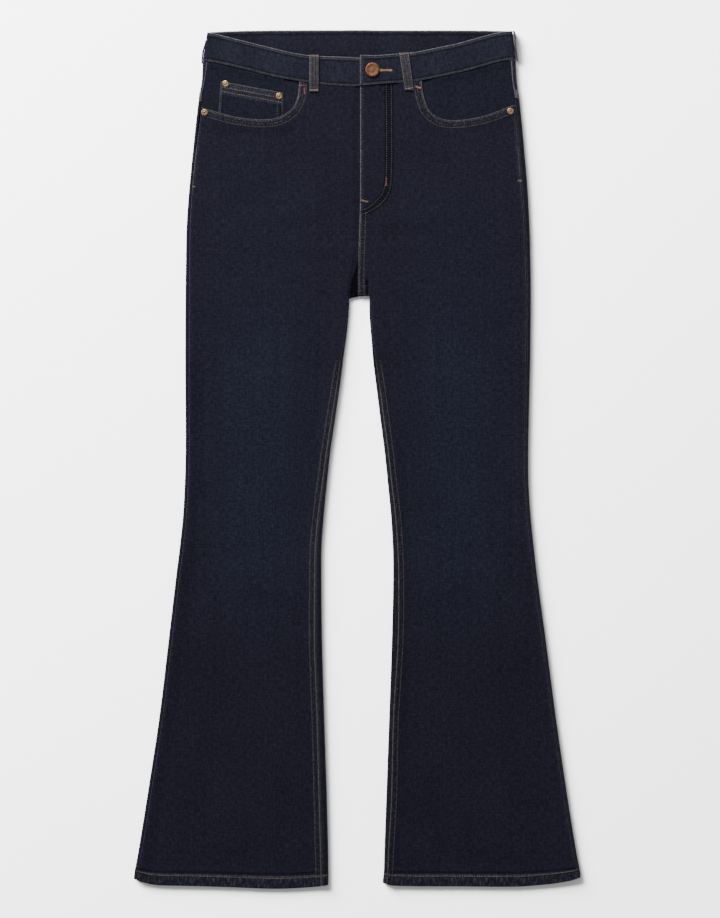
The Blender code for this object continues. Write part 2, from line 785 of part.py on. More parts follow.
def coin_rows():
    """The small pocket: its top edge shows, its foot runs under the pocket opening."""
    top = []
    foot = []
    for step in range(COIN_COLUMNS + 1):
        share = step / COIN_COLUMNS
        across = COIN_LEFT + (COIN_RIGHT - COIN_LEFT) * share
        top.append([across, COIN_TOP_LEFT + (COIN_TOP_RIGHT - COIN_TOP_LEFT) * share])
        foot.append([across + COIN_TAPER * (1 - share), COIN_FOOT + COIN_TILT * (1 - share)])
    return patch_rows("right", top, foot, face_height)


def loop_rows(side):
    """A front belt loop, bowed over the waistband and sewn down at its two ends."""
    top = FRONT_LOOP_TOPS[side]
    foot = FRONT_LOOP_FEET[side]
    rows = []
    for step in range(LOOP_ROWS + 1):
        share = step / LOOP_ROWS
        row = []
        for edge in range(3):
            start = top[0] + (top[1] - top[0]) * edge / 2
            end = foot[0] + (foot[1] - foot[0]) * edge / 2
            across = start + (end - start) * share
            height = top[2] + (foot[2] - top[2]) * share
            band_foot = read(BAND_FEET[side], "across", "height", across)
            beyond = smooth((band_foot - LOOP_STEP_FROM - height) / LOOP_STEP)
            under = band_face(side, across)
            under += (front_face(side, across, height) - under) * beyond
            bow = LOOP_BOW * math.sin(math.pi * min(share / LOOP_BOW_SHARE, 1.0))
            row.append(world(side, across, height, under + SEAM_GAP + bow + LOOP_CLOTH))
        rows.append(row)
    return rows


def side_loop_rows(side):
    """A side belt loop seen on edge: a strip that stands beside the folded waistband."""
    return [
        [world(side, across, height, 0.0), world(side, across, height, SIDE_LOOP_RISE[side])]
        for across, height in arc_positions(SIDE_LOOPS[side], SIDE_LOOP_ROWS)
    ]


def flat_rows(side, outline):
    """Two rows for a flat piece on the ground, top line then foot line."""
    return [[world(side, across, height, 0.0) for across, height in line] for line in outline]


def finish_material(name, colour, roughness, metallic):
    """A plain finish for one piece."""
    material = bpy.data.materials.new(name)
    material.use_nodes = True
    shader = material.node_tree.nodes["Principled BSDF"]
    shader.inputs["Base Color"].default_value = colour
    shader.inputs["Roughness"].default_value = roughness
    shader.inputs["Metallic"].default_value = metallic
    return material


def clear_scene():
    """Start from an empty scene."""
    for thing in list(bpy.data.objects):
        bpy.data.objects.remove(thing, do_unlink=True)


def new_collection(name):
    """A collection linked to the scene."""
    collection = bpy.data.collections.new(name)
    bpy.context.scene.collection.children.link(collection)
    return collection


def cloth(name, rows, thickness, faces_up, collection, colour=DENIM, hem_rows=0):
    """A piece of cloth: a grid laid through the rows of points, with a wall's thickness."""
    row_count = len(rows) - 1
    column_count = len(rows[0]) - 1
    mesh = bpy.data.meshes.new(name)
    shape = bmesh.new()
    bmesh.ops.create_grid(shape, x_segments=column_count, y_segments=row_count, size=0.5)
    weights = shape.verts.layers.deform.verify()
    for vertex in shape.verts:
        column = round((vertex.co.x + 0.5) * column_count)
        row = round((0.5 - vertex.co.y) * row_count)
        vertex.co = rows[row][column]
        if hem_rows:
            vertex[weights][0] = 1.0 if row > row_count - hem_rows else 0.5
    facing = sum(face.normal.z * face.calc_area() for face in update_normals(shape))
    if (facing > 0) != faces_up:
        bmesh.ops.reverse_faces(shape, faces=shape.faces)
    shape.to_mesh(mesh)
    shape.free()
    piece = bpy.data.objects.new(name, mesh)
    collection.objects.link(piece)
    wall = piece.modifiers.new("Cloth thickness", "SOLIDIFY")
    wall.thickness = thickness * MM
    wall.offset = -1
    if hem_rows:
        piece.vertex_groups.new(name="Hem")
        wall.vertex_group = "Hem"
    mesh.shade_smooth()
    mesh.materials.append(finish_material(name, colour, 0.85, 0.0))
    return piece


def update_normals(shape):
    """The faces of a mesh with their normals worked out again."""
    shape.normal_update()
    return shape.faces


def turned(name, profile, across, height, ground, collection, steps=TURN_STEPS):
    """A round metal piece, spun from a profile of radius and height."""
    mesh = bpy.data.meshes.new(name)
    shape = bmesh.new()
    previous = None
    for radius, up in profile:
        vertex = shape.verts.new((radius * MM, 0, up * MM))
        if previous is not None:
            shape.edges.new((previous, vertex))
        previous = vertex
    shape.to_mesh(mesh)
    shape.free()
    piece = bpy.data.objects.new(name, mesh)
    collection.objects.link(piece)
    piece.location = (across * MM, (height - LENGTH / 2) * MM, ground * MM)
    spin = piece.modifiers.new("Turn", "SCREW")
    spin.steps = steps
    spin.render_steps = steps
    spin.use_merge_vertices = True
    spin.merge_threshold = MERGE_DISTANCE
    mesh.materials.append(finish_material(name, COPPER, 0.35, 1.0))
    return piece


def make_fronts(collection):
    """The two front panels, hemmed at the foot."""
    for side in SIGN:
        cloth(f"front_{side}", front_rows(side), HEM_CLOTH, True, collection, hem_rows=2)


def make_backs(collection):
    """The two back panels and the yokes over them."""
    for side in SIGN:
        cloth(f"back_{side}", back_rows(side), HEM_CLOTH, False, collection, hem_rows=2)
        cloth(f"yoke_{side}", yoke_rows(side), CLOTH, False, collection)


def shank_hole(cutters):
    """The cutter for the hole that the button's shank goes through."""
    hole = bpy.data.meshes.new("buttonhole")
    shape = bmesh.new()
    bmesh.ops.create_cone(
        shape, cap_ends=True, segments=TURN_STEPS,
        radius1=SHANK_HOLE * MM, radius2=SHANK_HOLE * MM, depth=3 * BAND_CLOTH * MM,
    )
    shape.to_mesh(hole)
    shape.free()
    cutter = bpy.data.objects.new("buttonhole", hole)
    cutters.objects.link(cutter)
    cutter.hide_render = True
    cutter.display_type = "WIRE"
    middle = band_face("left", BUTTON_ACROSS) - BAND_CLOTH / 2
    cutter.location = world("left", BUTTON_ACROSS, BUTTON_HEIGHT, middle)
    return cutter


def make_waistband(collection, cutters):
    """The waistband's two halves: the left one laps over the right and has the button's hole."""
    for side in SIGN:
        band = cloth(f"waistband_{side}", band_rows(side), BAND_CLOTH, True, collection)
        if side == "left":
            cut = band.modifiers.new("Buttonhole", "BOOLEAN")
            cut.operation = "DIFFERENCE"
            cut.object = shank_hole(cutters)


def make_pockets(collection):
    """Pocket facings, the small pocket and the back pockets."""
    for side in SIGN:
        cloth(
            f"pocket_facing_{side}", facing_rows(side), CLOTH, True, collection, POCKET_DENIM,
        )
        half = BACK_POCKET_WIDTH / 2
        centre = BACK_POCKET_CENTRE
        outline = [
            [(centre + half, BACK_POCKET_TOP), (centre, BACK_POCKET_TOP),
             (centre - half, BACK_POCKET_TOP)],
            [(centre + half - BACK_POCKET_FLARE, BACK_POCKET_CORNER), (centre, BACK_POCKET_POINT),
             (centre - half + BACK_POCKET_FLARE, BACK_POCKET_CORNER)],
        ]
        cloth(f"back_pocket_{side}", flat_rows(side, outline), CLOTH, False, collection)
    cloth("coin_pocket", coin_rows(), CLOTH, True, collection, POCKET_DENIM)


def make_belt_loops(collection):
    """Two front loops, two at the sides and one at the centre back."""
    for side in SIGN:
        cloth(f"belt_loop_front_{side}", loop_rows(side), LOOP_CLOTH, True, collection)
        strip = cloth(
            f"belt_loop_side_{side}", side_loop_rows(side), SIDE_LOOP_CLOTH, True, collection,
        )
        strip.modifiers["Cloth thickness"].offset = 0
    half = LOOP_WIDTH / 2
    outline = [
        [(CENTRE_BACK - half, BACK_LOOP_TOP), (CENTRE_BACK + half, BACK_LOOP_TOP)],
        [(CENTRE_BACK - half, BACK_LOOP_FOOT), (CENTRE_BACK + half, BACK_LOOP_FOOT)],
    ]
    cloth("belt_loop_back", flat_rows("left", outline), BACK_LOOP_CLOTH, False, collection)


def make_zip(collection):
    """The closed zip's tapes, a plain strip under the fly."""
    face = strip_face("right", VALLEY_TOP)
    start = FLY_EDGE + FLY_UNDERLAP + ZIP_GAP
    outline = [[(start, height), (start + ZIP_WIDTH, height)] for height in (ZIP_TOP, FLY_FOOT)]
    rows = [[world("left", across, height, face) for across, height in line] for line in outline]
    cloth("zip", rows, CLOTH, True, collection, ZIP_TAPE)


def make_metal(collection):
    """The button with its shank, and the four rivets."""
    ground = band_face("left", BUTTON_ACROSS)
    rim = BUTTON_RADIUS
    underlap = band_face("right", -BUTTON_ACROSS)
    profile = [
        (0.0, 2.3), (3.4, 2.3), (5.6, 2.5), (7.4, 3.0), (8.5, 2.8), (rim, 2.0), (rim, 1.2),
        (8.6, 0.4), (SHANK_RADIUS, 0.4), (SHANK_RADIUS, underlap + SEAM_GAP - ground),
        (0.0, underlap + SEAM_GAP - ground),
    ]
    turned("button", profile, BUTTON_ACROSS, BUTTON_HEIGHT, ground, collection, BUTTON_STEPS)
    profile = [
        (0.0, 1.5), (0.9, 1.4), (1.5, 1.1), (2.6, 1.25), (3.7, 1.1), (RIVET_RADIUS, 0.7),
        (RIVET_RADIUS, SEAM_GAP), (0.0, SEAM_GAP),
    ]
    for side, (across, height) in POCKET_RIVETS.items():
        ground = front_face(side, across, height) + RIVET_LIFT
        turned(f"rivet_pocket_{side}", profile, SIGN[side] * across, height, ground, collection)
    for place, (across, height) in COIN_RIVETS.items():
        ground = face_height("right", across, height) + RIVET_LIFT
        turned(f"rivet_coin_{place}", profile, SIGN["right"] * across, height, ground, collection)


def main():
    """Build the jeans."""
    clear_scene()
    collection = new_collection("Flared jeans")
    cutters = new_collection("Cutters")
    make_backs(collection)
    make_fronts(collection)
    make_waistband(collection, cutters)
    make_pockets(collection)
    make_belt_loops(collection)
    make_zip(collection)
    make_metal(collection)


main()
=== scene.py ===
"""The looks of a pair of flared jeans that lie flat, front up, on a pale floor.

Each piece of cloth is a fine shell on the form of its solid: the same outlines and
heights, with soft creases, turned edges, stitches and wear added. Tables and functions
are in millimetres: across from the centre line, and height up from the lowest point of
the hems. The wearer's right leg is at -X, the waist is towards +Y.
"""

import math
from collections import namedtuple
from functools import reduce

import bmesh
import bpy
import numpy as np
from mathutils import Matrix, Vector


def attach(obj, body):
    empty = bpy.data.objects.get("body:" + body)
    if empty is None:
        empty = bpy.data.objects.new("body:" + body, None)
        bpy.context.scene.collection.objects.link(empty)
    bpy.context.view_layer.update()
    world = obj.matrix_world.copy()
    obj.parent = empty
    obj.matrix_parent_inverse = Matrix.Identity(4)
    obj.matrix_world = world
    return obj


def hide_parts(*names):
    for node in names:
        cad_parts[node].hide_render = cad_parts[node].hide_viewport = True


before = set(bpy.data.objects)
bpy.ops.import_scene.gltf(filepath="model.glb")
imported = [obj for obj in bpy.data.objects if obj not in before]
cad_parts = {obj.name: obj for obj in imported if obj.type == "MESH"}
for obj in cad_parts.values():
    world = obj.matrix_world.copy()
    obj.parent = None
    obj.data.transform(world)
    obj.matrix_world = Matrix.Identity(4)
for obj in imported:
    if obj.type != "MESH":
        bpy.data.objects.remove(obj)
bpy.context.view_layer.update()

MM = 0.001

# Main sizes of the garment, as its solids have them
LENGTH = 1101.6
CLOTH = 1.2
LAYER = 1.6
SEAM_GAP = 0.4
HEM_CLOTH = 2.4
HEM_DEPTH = 14.0
HEM_STEPS = [(0.5, 1.0), (2.2, 0.66), (3.8, 0.33)]
BAND_CLOTH = 2.2
LOOP_CLOTH = 1.6
ROUND = 3.1
BAND_ROUND = 3.5
SETTLE = 22.0
OUTER_EASE = {"right": 0.8, "left": 0.0}
HEM_LIFT = 2.3
HEM_FADE = 70.0
CROTCH = 760.0
EDGE_LEVEL = 761.0
LEG_LEVEL = 757.0
VALLEY_TOP = 830.0
CENTRE_BACK = 1.4
FLY_EDGE = 3.5
FLY_LEAN = 2.9
FLY_LEAN_TOP = 900.0
FLY_LEAN_FADE = 120.0
FLY_UNDERLAP = 8.1
FLY_FOOT = 884.0
FOLD_TOP = {"right": 1.0, "left": 9.0}
STRIP_FACE = {"right": 4.2, "left": 5.8}
STRIP_SINK = 0.6
STRIP_RAMP = 9.0
STRIP_RAMP_CUT = 4.5
STRIP_RAMP_SHARE = 0.6
FLY_RISE = 1.6
FLY_RISE_SIDE = 24.0
FLY_RISE_TOP = 1029.0
FLY_RISE_RAMP = 26.0
SLOPE_FOOT = 759.0
SLOPE_FROM = -10.8
SLOPE_RISE = 0.152
CROTCH_CORNER = {"right": 758.2, "left": 762.2}
CROTCH_NEAR = 20.0
CROTCH_FADE = 40.0
SIGN = {"right": -1, "left": 1}

Station = namedtuple("Station", "height outer inner outseam inseam")
Place = namedtuple("Place", "across height")
Lie = namedtuple("Lie", "height face")
Column = namedtuple("Column", "share beyond")
Box = namedtuple("Box", "middle half low high rise")
Crease = namedtuple("Crease", "across height reach turn width depth")
Spot = namedtuple("Spot", "across height wide tall depth")
Bar = namedtuple("Bar", "side place length turn colour")
Tones = namedtuple("Tones", "base worn faded")


def named(kind, rows):
    """A table's rows with names for their values; a table by side keeps its sides."""
    if isinstance(rows, dict):
        return {side: named(kind, part) for side, part in rows.items()}
    return [kind(*row) for row in rows]


# Legs: silhouette, and how far in from it each seam shows on the upper face
LEGS = named(Station, {
    "right": [
        (0, 288.5, 37.2, 3.8, 8.6),
        (15, 285.7, 37.2, 3.8, 8.6),
        (25, 284.5, 37.3, 3.8, 8.6),
        (50, 279.7, 37.6, 3.8, 8.8),
        (120, 268.4, 39.3, 3.8, 9.0),
        (220, 253.1, 42.6, 3.8, 8.2),
        (320, 241.0, 45.4, 3.8, 8.8),
        (400, 231.6, 46.3, 3.8, 7.5),
        (440, 226.6, 46.0, 3.8, 7.0),
        (480, 222.5, 43.2, 3.8, 6.2),
        (520, 220.3, 39.3, 3.8, 5.0),
        (560, 219.2, 35.0, 4.0, 4.0),
        (600, 219.2, 29.2, 4.0, 3.6),
        (640, 219.5, 23.4, 4.2, 3.0),
        (680, 219.7, 18.3, 4.5, 1.8),
        (720, 219.6, 14.2, 4.5, 0.5),
        (756, 219.4, 11.4, 4.5, 0.0),
        (800, 218.9, 11.0, 4.2, 0.0),
        (850, 217.9, 11.0, 4.0, 0.0),
        (900, 214.4, 11.0, 3.8, 0.0),
        (950, 209.4, 11.0, 3.8, 0.0),
        (985, 205.7, 11.0, 3.8, 0.0),
        (1015, 202.1, 11.0, 3.8, 0.0),
        (1035, 198.6, 11.0, 5.0, 0.0),
        (1062, 197.2, 11.0, 7.0, 0.0),
    ],
    "left": [
        (0, 288.5, 32.0, 3.8, 4.4),
        (15, 285.7, 32.6, 3.8, 4.4),
        (25, 285.0, 33.6, 3.8, 4.4),
        (50, 280.0, 34.4, 3.8, 4.6),
        (120, 268.7, 36.9, 3.8, 6.0),
        (220, 254.1, 40.5, 3.8, 4.8),
        (320, 241.0, 44.0, 3.8, 7.2),
        (400, 230.2, 45.7, 3.8, 6.4),
        (440, 225.5, 45.2, 3.8, 5.6),
        (480, 221.5, 42.8, 3.8, 5.0),
        (520, 218.9, 38.9, 3.8, 4.4),
        (560, 218.5, 34.8, 4.0, 4.0),
        (600, 219.2, 29.7, 4.2, 3.8),
        (640, 220.1, 24.7, 4.6, 3.6),
        (680, 221.0, 19.8, 5.0, 2.6),
        (720, 221.5, 17.2, 5.0, 1.0),
        (756, 221.8, 16.1, 5.0, 0.0),
        (800, 221.4, 16.1, 5.6, 0.0),
        (850, 220.1, 16.1, 6.2, 0.0),
        (900, 217.4, 16.1, 7.5, 0.0),
        (950, 213.2, 16.1, 7.0, 0.0),
        (985, 210.0, 16.1, 6.4, 0.0),
        (1015, 206.8, 16.1, 6.0, 0.0),
        (1035, 203.8, 16.1, 6.0, 0.0),
        (1062, 202.2, 16.1, 6.5, 0.0),
    ],
})

# Hem edge, from the inseam to the outseam
HEMS = named(Place, {
    "right": [
        (30, 7.0), (38, 5.0), (48, 3.2), (75, 1.0), (99, 0.0),
        (125, 0.4), (150, 1.5), (180, 2.6), (215, 3.6), (252, 4.5),
        (265, 6.0), (272, 7.8), (280, 10.2), (287, 13.5),
    ],
    "left": [
        (28, 9.5), (34, 7.2), (39, 5.5), (48, 4.0), (80, 3.2),
        (130, 3.1), (182, 2.6), (208, 2.9), (234, 4.9), (246, 6.1),
        (259, 7.9), (272, 10.4), (281, 13.2), (287, 15.5),
    ],
})

# Height of the front's upper face away from the folds
LIES = [
    Lie(0, 5.3), Lie(13, 5.3), Lie(24, 3.3), Lie(40, 3.1), Lie(560, 3.1), Lie(640, 3.5),
    Lie(700, 4.3), Lie(756, 5.0), Lie(820, 5.7), Lie(860, 5.8), Lie(1110, 5.8),
]

# Pocket openings, from the outseam up to the waistband
SCOOPS = named(Place, {
    "right": [
        (199.4, 1001.9), (191.4, 999.5), (174.2, 994.3), (157.2, 989.9),
        (134.3, 986.8), (117.1, 986.3), (100.0, 989.3), (84.3, 999.8),
        (76.6, 1014.6), (74.2, 1034.8),
    ],
    "left": [
        (201.4, 1005.4), (192.1, 1002.2), (177.3, 996.2), (160.1, 990.6),
        (137.2, 986.4), (117.9, 985.6), (103.0, 989.3), (91.4, 999.0),
        (84.7, 1016.4), (82.0, 1035.8),
    ],
})

# Waistband edges, from the centre to the side
BAND_TOPS = named(Place, {
    "right": [
        (-34, 1064.5), (-2, 1065.6), (27, 1067.0), (51, 1067.8),
        (77, 1070.7), (111, 1078.4), (146, 1087.0), (182, 1096.0),
        (193, 1097.6),
    ],
    "left": [
        (3, 1068.7), (26, 1068.4), (52, 1070.7), (75, 1073.0),
        (106, 1079.3), (123, 1082.6), (157, 1091.8), (180, 1097.6),
        (199, 1099.8),
    ],
})
BAND_FEET = named(Place, {
    "right": [
        (-34, 1034.0), (-14, 1031.2), (-4, 1029.6), (5, 1028.5),
        (22, 1029.0), (48, 1031.3), (77, 1035.6), (111, 1041.9),
        (146, 1051.0), (180, 1058.4), (197, 1061.2),
    ],
    "left": [
        (3, 1029.0), (29, 1031.2), (58, 1033.5), (78, 1035.6),
        (106, 1041.0), (146, 1050.1), (180, 1059.8), (203, 1063.2),
    ],
})
BACK_BAND_TOPS = named(Place, {
    "right": [(-3, 1101.4), (60, 1101.6), (150, 1100.7), (193, 1098.9)],
    "left": [(-3, 1101.4), (60, 1101.4), (157, 1101.1), (199, 1100.2)],
})
BACK_BAND_FEET = named(Place, {
    "right": [(-3, 1064.5), (100, 1064.0), (197, 1061.4)],
    "left": [(-3, 1064.5), (100, 1064.5), (203, 1063.2)],
})
BAND_SIDE_TOP = {"right": 192.4, "left": 198.2}
BAND_SIDE_FOOT = {"right": 197.4, "left": 202.4}
BAND_END = {"right": -33.0, "left": 3.2}
BAND_FACE = 6.6
OVERLAP_RISE = 2.5
OVERLAP_FROM = 58.0
OVERLAP_TO = 37.0
YOKE_SIDE = {"right": 1009.0, "left": 1013.0}
YOKE_CENTRE = 985.0
YOKE_RIM = 0.9
SEAM_TOP = 1060.0

# Pockets
BACK_POCKET_CENTRE = 104.0
BACK_POCKET_WIDTH = 138.0
BACK_POCKET_TOP = 966.0
BACK_POCKET_CORNER = 838.0
BACK_POCKET_POINT = 816.0
BACK_POCKET_FLARE = 6.0
LIFT_MARGIN = 1.0
LIFT_RAMP = 20.0
COIN_LEFT = 174.8
COIN_RIGHT = 94.2
COIN_TOP_LEFT = 1035.4
COIN_TOP_RIGHT = 1020.5
COIN_FOOT = 982.5
COIN_TAPER = 4.0
COIN_TILT = 2.0
BUMP_MARGIN = 3.0
BUMP_RAMP = 16.0
FACING_ASIDE = 8.0
FACING_BELOW = 9.0
FACING_INNER = 7.0
FACING_CORNER = 12.0
FACING_EDGE = -1.2
FACING_LIFT = 1.2

# Belt loops
FRONT_LOOP_TOPS = {"right": (49.5, 61.3, 1069.0), "left": (53.1, 65.6, 1072.0)}
FRONT_LOOP_FEET = {"right": (49.5, 61.3, 1021.2), "left": (60.8, 72.2, 1023.2)}
SIDE_LOOPS = named(Place, {
    "right": [
        (194.0, 1088.0), (195.4, 1081.0), (197.6, 1074.0), (198.6, 1066.0),
        (199.0, 1059.0),
    ],
    "left": [
        (199.4, 1099.8), (201.0, 1097.4), (201.9, 1092.0), (202.1, 1085.0),
        (202.4, 1078.0), (203.6, 1070.0), (204.6, 1062.0),
    ],
})
SIDE_LOOP_RISE = {"right": 6.4, "left": 8.2}
SIDE_LOOP_END_SHARE = 0.72
SIDE_LOOP_CLOTH = 1.4
LOOP_WIDTH = 11.6
LOOP_BOW = 1.3
LOOP_BOW_SHARE = 0.85
LOOP_STEP = 4.0
LOOP_STEP_FROM = 0.6
LOOP_COLUMNS = [0, 0.02, 0.06, 0.12, 0.2, 0.3, 0.4, 0.5, 0.6, 0.7, 0.8, 0.88, 0.94, 0.98, 1.0]
BACK_LOOP_TOP = 1100.4
BACK_LOOP_FOOT = 1050.0
BACK_LOOP_CLOTH = 1.5

# Metal and the zip
BUTTON = Place(19.1, 1049.2)
BUTTONHOLE = (26.5, 43.5)
BUTTONHOLE_DROP = -0.5
BUTTONHOLE_EYE = [6.4, 5.6, 4.6, 3.6]
BUTTON_RADIUS = 9.1
SHANK_RADIUS = 2.2
RIVET_RADIUS = 4.3
RIVET_LIFT = 0.1
STUD_RADIUS = 1.4
POCKET_RIVETS = {"right": Place(195.4, 995.4), "left": Place(195.6, 996.9)}
COIN_RIVETS = {"outer": Place(168.6, 1031.9), "inner": Place(100.0, 1016.4)}
ZIP_GAP = 0.8
ZIP_WIDTH = 8.0
ZIP_TOP = 1026.0
TOOTH_PITCH = 1.5
TOOTH_SIZE = (2.4, 0.8, 0.7)
SLIDER_SIZE = (5.6, 9.0, 0.8)
SLIDER_DROP = 5.0

# Columns of the solids' rows, which the fine shells divide
FRONT_OUTER_STEPS = [0.0, 1.6, 4.5, 10.0, 20.0]
FRONT_INNER_STEPS = [20.0, 9.0, 4.4, 2.2, 0.6, 0.0]
FRONT_CENTRE_COLUMNS = [
    Column(1.0, 14.0), Column(1.0, 5.0), Column(1.0, 2.0), Column(0.9, 0.0),
    Column(0.45, 0.0), Column(0.0, 0.0),
]
CENTRE_SPREAD = 0.4
FRONT_MIDDLE = 13
FRONT_CORNER = 15
FRONT_PARTS = [4, 3, 3, 4] + [5] * FRONT_MIDDLE + [4, 3, 3, 3, 3]
FRONT_JOIN = 935.0
BACK_HIP_COLUMNS = [190.0, 176.0, 128.0, 80.0, 32.0, 21.0]
BACK_GROUND_PARTS = [6, 4, 12, 12, 12, 4, 3]
BACK_WRAP_PARTS = 14
BAND_FOLD_PARTS = 16
BAND_DEPTH = 35.0
END_POWER = 1.6
FACING_COLUMNS = 14
POCKET_ROW = 970.0
BUTTON_STEPS = 64
RIVET_STEPS = 40
BACK_EVEN_FADE = 120.0
CURVED_SEAM_GAP = 1.0
CURL = 0.3
CURL_TOP = 767.0
CURL_FADE = 6.0
FRONT_STEP = 2.6
BACK_STEP = 3.5

# Soft creases of the fronts: middle, half length, turn from level in degrees, width, depth
FRONT_CREASES = named(Crease, {
    "right": [
        (60, 853, 52, -9, 9, -0.55),
        (72, 872, 60, -14, 12, 0.50),
        (48, 832, 40, -2, 8, -0.50),
        (96, 822, 64, 6, 14, 0.55),
        (40, 806, 30, 14, 7, -0.40),
        (62, 786, 46, 24, 10, 0.45),
        (52, 762, 40, 36, 9, -0.50),
        (150, 900, 70, -18, 18, 0.45),
        (168, 860, 60, -30, 15, -0.40),
        (120, 700, 80, 78, 22, 0.50),
        (176, 640, 90, 86, 16, -0.35),
        (90, 590, 90, 80, 20, 0.40),
        (150, 520, 70, 95, 22, 0.45),
        (110, 455, 52, 8, 14, 0.35),
        (140, 432, 60, -6, 12, -0.30),
        (190, 330, 110, 100, 20, 0.40),
        (100, 250, 120, 86, 18, 0.45),
        (150, 150, 90, 92, 16, -0.25),
        (230, 120, 80, 104, 15, 0.40),
        (70, 90, 60, 84, 12, 0.35),
    ],
    "left": [
        (58, 838, 60, 7, 10, -0.65),
        (76, 858, 66, 10, 13, 0.60),
        (44, 818, 36, -4, 8, -0.45),
        (100, 812, 62, -6, 13, 0.55),
        (46, 796, 30, -18, 7, -0.40),
        (66, 774, 48, -28, 10, 0.50),
        (56, 744, 44, -40, 10, -0.45),
        (148, 884, 66, 16, 18, 0.50),
        (172, 846, 60, 28, 15, -0.40),
        (128, 690, 90, -80, 20, 0.50),
        (182, 620, 90, -86, 15, -0.35),
        (96, 575, 84, -82, 19, 0.45),
        (142, 500, 80, -96, 24, 0.40),
        (104, 448, 56, -10, 13, 0.35),
        (150, 424, 58, 5, 12, -0.30),
        (196, 310, 100, -99, 19, 0.45),
        (108, 262, 110, -85, 18, 0.40),
        (160, 176, 96, -92, 17, -0.25),
        (236, 132, 76, -103, 14, 0.40),
        (74, 104, 64, -86, 12, 0.35),
    ],
})

# Soft creases of the backs, which lift off the ground
BACK_CREASES = named(Crease, {
    "right": [
        (60, 790, 60, 16, 12, 0.9), (96, 764, 70, 8, 14, 0.8),
        (70, 735, 50, 30, 10, 0.7), (120, 690, 90, 70, 18, 0.6),
        (130, 470, 60, 6, 13, 0.4), (100, 445, 70, -8, 12, 0.45),
        (160, 380, 90, 96, 18, 0.4), (110, 220, 110, 84, 16, 0.4),
        (200, 140, 90, 100, 15, 0.35),
    ],
    "left": [
        (64, 784, 64, -14, 12, 0.9), (104, 758, 66, -10, 13, 0.8),
        (76, 726, 54, -32, 11, 0.7), (126, 676, 84, -74, 18, 0.6),
        (124, 462, 64, -7, 12, 0.45), (150, 440, 60, 9, 13, 0.4),
        (170, 360, 96, -97, 19, 0.4), (104, 236, 100, -84, 16, 0.4),
        (208, 128, 86, -101, 15, 0.35),
    ],
})

# Pale spots of the wash on the thigh, the knee and the hip
FRONT_FADES = [
    Spot(125, 610, 62, 190, 0.9), Spot(132, 430, 60, 90, 0.5), Spot(110, 870, 70, 90, 0.06),
]
BACK_FADES = [Spot(120, 640, 62, 170, 0.6)]

# Stitching: distance of each row from its edge, the thread's width and the stitch pitch
SCOOP_ROWS = (2.3, 9.8)
INSEAM_ROWS = (1.3, 7.3)
INSEAM_TOP = 680.0
RISE_ROWS = (2.4, 7.9)
SEAT_ROWS = (1.8, 8.0)
YOKE_ROWS = (1.8, 8.0)
YOKE_BLOCK_IN = {"right": 2.6, "left": 4.0}
YOKE_BLOCK_UP = 6.4
YOKE_BLOCK_LENGTH = 9.6
YOKE_BLOCK_WIDTH = 4.4
YOKE_BLOCK_THREAD = 1.5
YOKE_BLOCK_LIFT = 0.45
BAND_ROW = 3.3
BAND_FOOT_ROW = 2.2
BAND_END_ROW = 2.6
BAND_INSIDE_ROW = 1.9
POCKET_ROWS = (1.7, 7.4)
POCKET_HEM_ROWS = (3.0, 16.0)
COIN_HEM_ROWS = (7.6, 13.2)
COIN_HEM = 16.4
COIN_SIDE_ROW = 2.2
COIN_INNER_ROW = 8.2
LOOP_ROW = 2.6
HEM_ROW = 13.4
NO_ROW = 500.0
NO_EDGE = 99.0
PITCH = 3.1
STITCH_SHARE = 0.84
THREAD = 0.78
HEM_THREAD = 1.5
COIN_THREAD = 1.9
FLY_THREAD = 1.6
FLY_PITCH = 2.9
LOOP_THREAD = 0.66
LOOP_PITCH = 2.6
STITCH_BATCH = 12
PROBE = 0.8
FLY_NEAR = Place(60, 850)
SCOOP_NEAR = 950
STITCH_LIFT = 0.1
SEWN_LIFT = 0.25
NO_ROWS = (NO_ROW, NO_ROW)

# The fly's curved double stitching, from the waistband down to the centre seam
FLY_CURVES = [named(Place, rows) for rows in (
    [
        (36.9, 1031.5), (37.2, 1000.0), (37.4, 960.0), (37.3, 930.0),
        (36.2, 908.0), (32.6, 893.0), (26.4, 884.6), (18.0, 876.6),
        (10.0, 871.6), (5.4, 870.4),
    ],
    [
        (43.4, 1032.0), (43.6, 1000.0), (43.8, 960.0), (43.7, 928.0),
        (42.4, 903.0), (38.4, 889.6), (31.4, 879.8), (22.4, 872.8),
        (12.8, 867.4), (5.4, 864.6),
    ],
)]

# Bars of tight stitches on the fronts: side, place, length, turn from level and thread
BARTACKS = {
    "opening_right": Bar("right", (70.0, 1029.6), 6.4, 0, "rose"),
    "opening_right_down": Bar("right", (67.6, 1022.6), 8.0, 84, "rose"),
    "opening_left": Bar("left", (77.6, 1027.4), 6.4, -18, "orange"),
    "fly_side": Bar("left", (36.8, 906.7), 10.0, 88, "rose"),
    "fly_foot": Bar("left", (9.0, 882.0), 9.2, -14, "tan"),
    "outseam_right": Bar("right", (209.4, 900.4), 3.6, 0, "tan"),
    "outseam_left": Bar("left", (207.6, 908.0), 4.6, -6, "tan"),
}

# The camera, the light and the floor
PHOTO_CENTRE = (3.3, 1.4)
PHOTO_HEIGHT = 1175.04
LENS = 85.0
SENSOR = 36.0
CAMERA_GROUND = 3.1
KEY_PLACE = (-1.0, 2.3, 1.5)
KEY_SIZE = (1.6, 1.6)
KEY_POWER = 120.0
FLOOR_KEY_PLACE = (-3.4, 3.6, 2.0)
FLOOR_KEY_SIZE = (3.0, 2.7)
FLOOR_KEY_POWER = 3800.0
ROOM_STRENGTH = 0.5
FLOOR_DROP = 0.0002
FLOOR_TONE = (0.80, 0.80, 0.80)


# Shapes shared with the solids


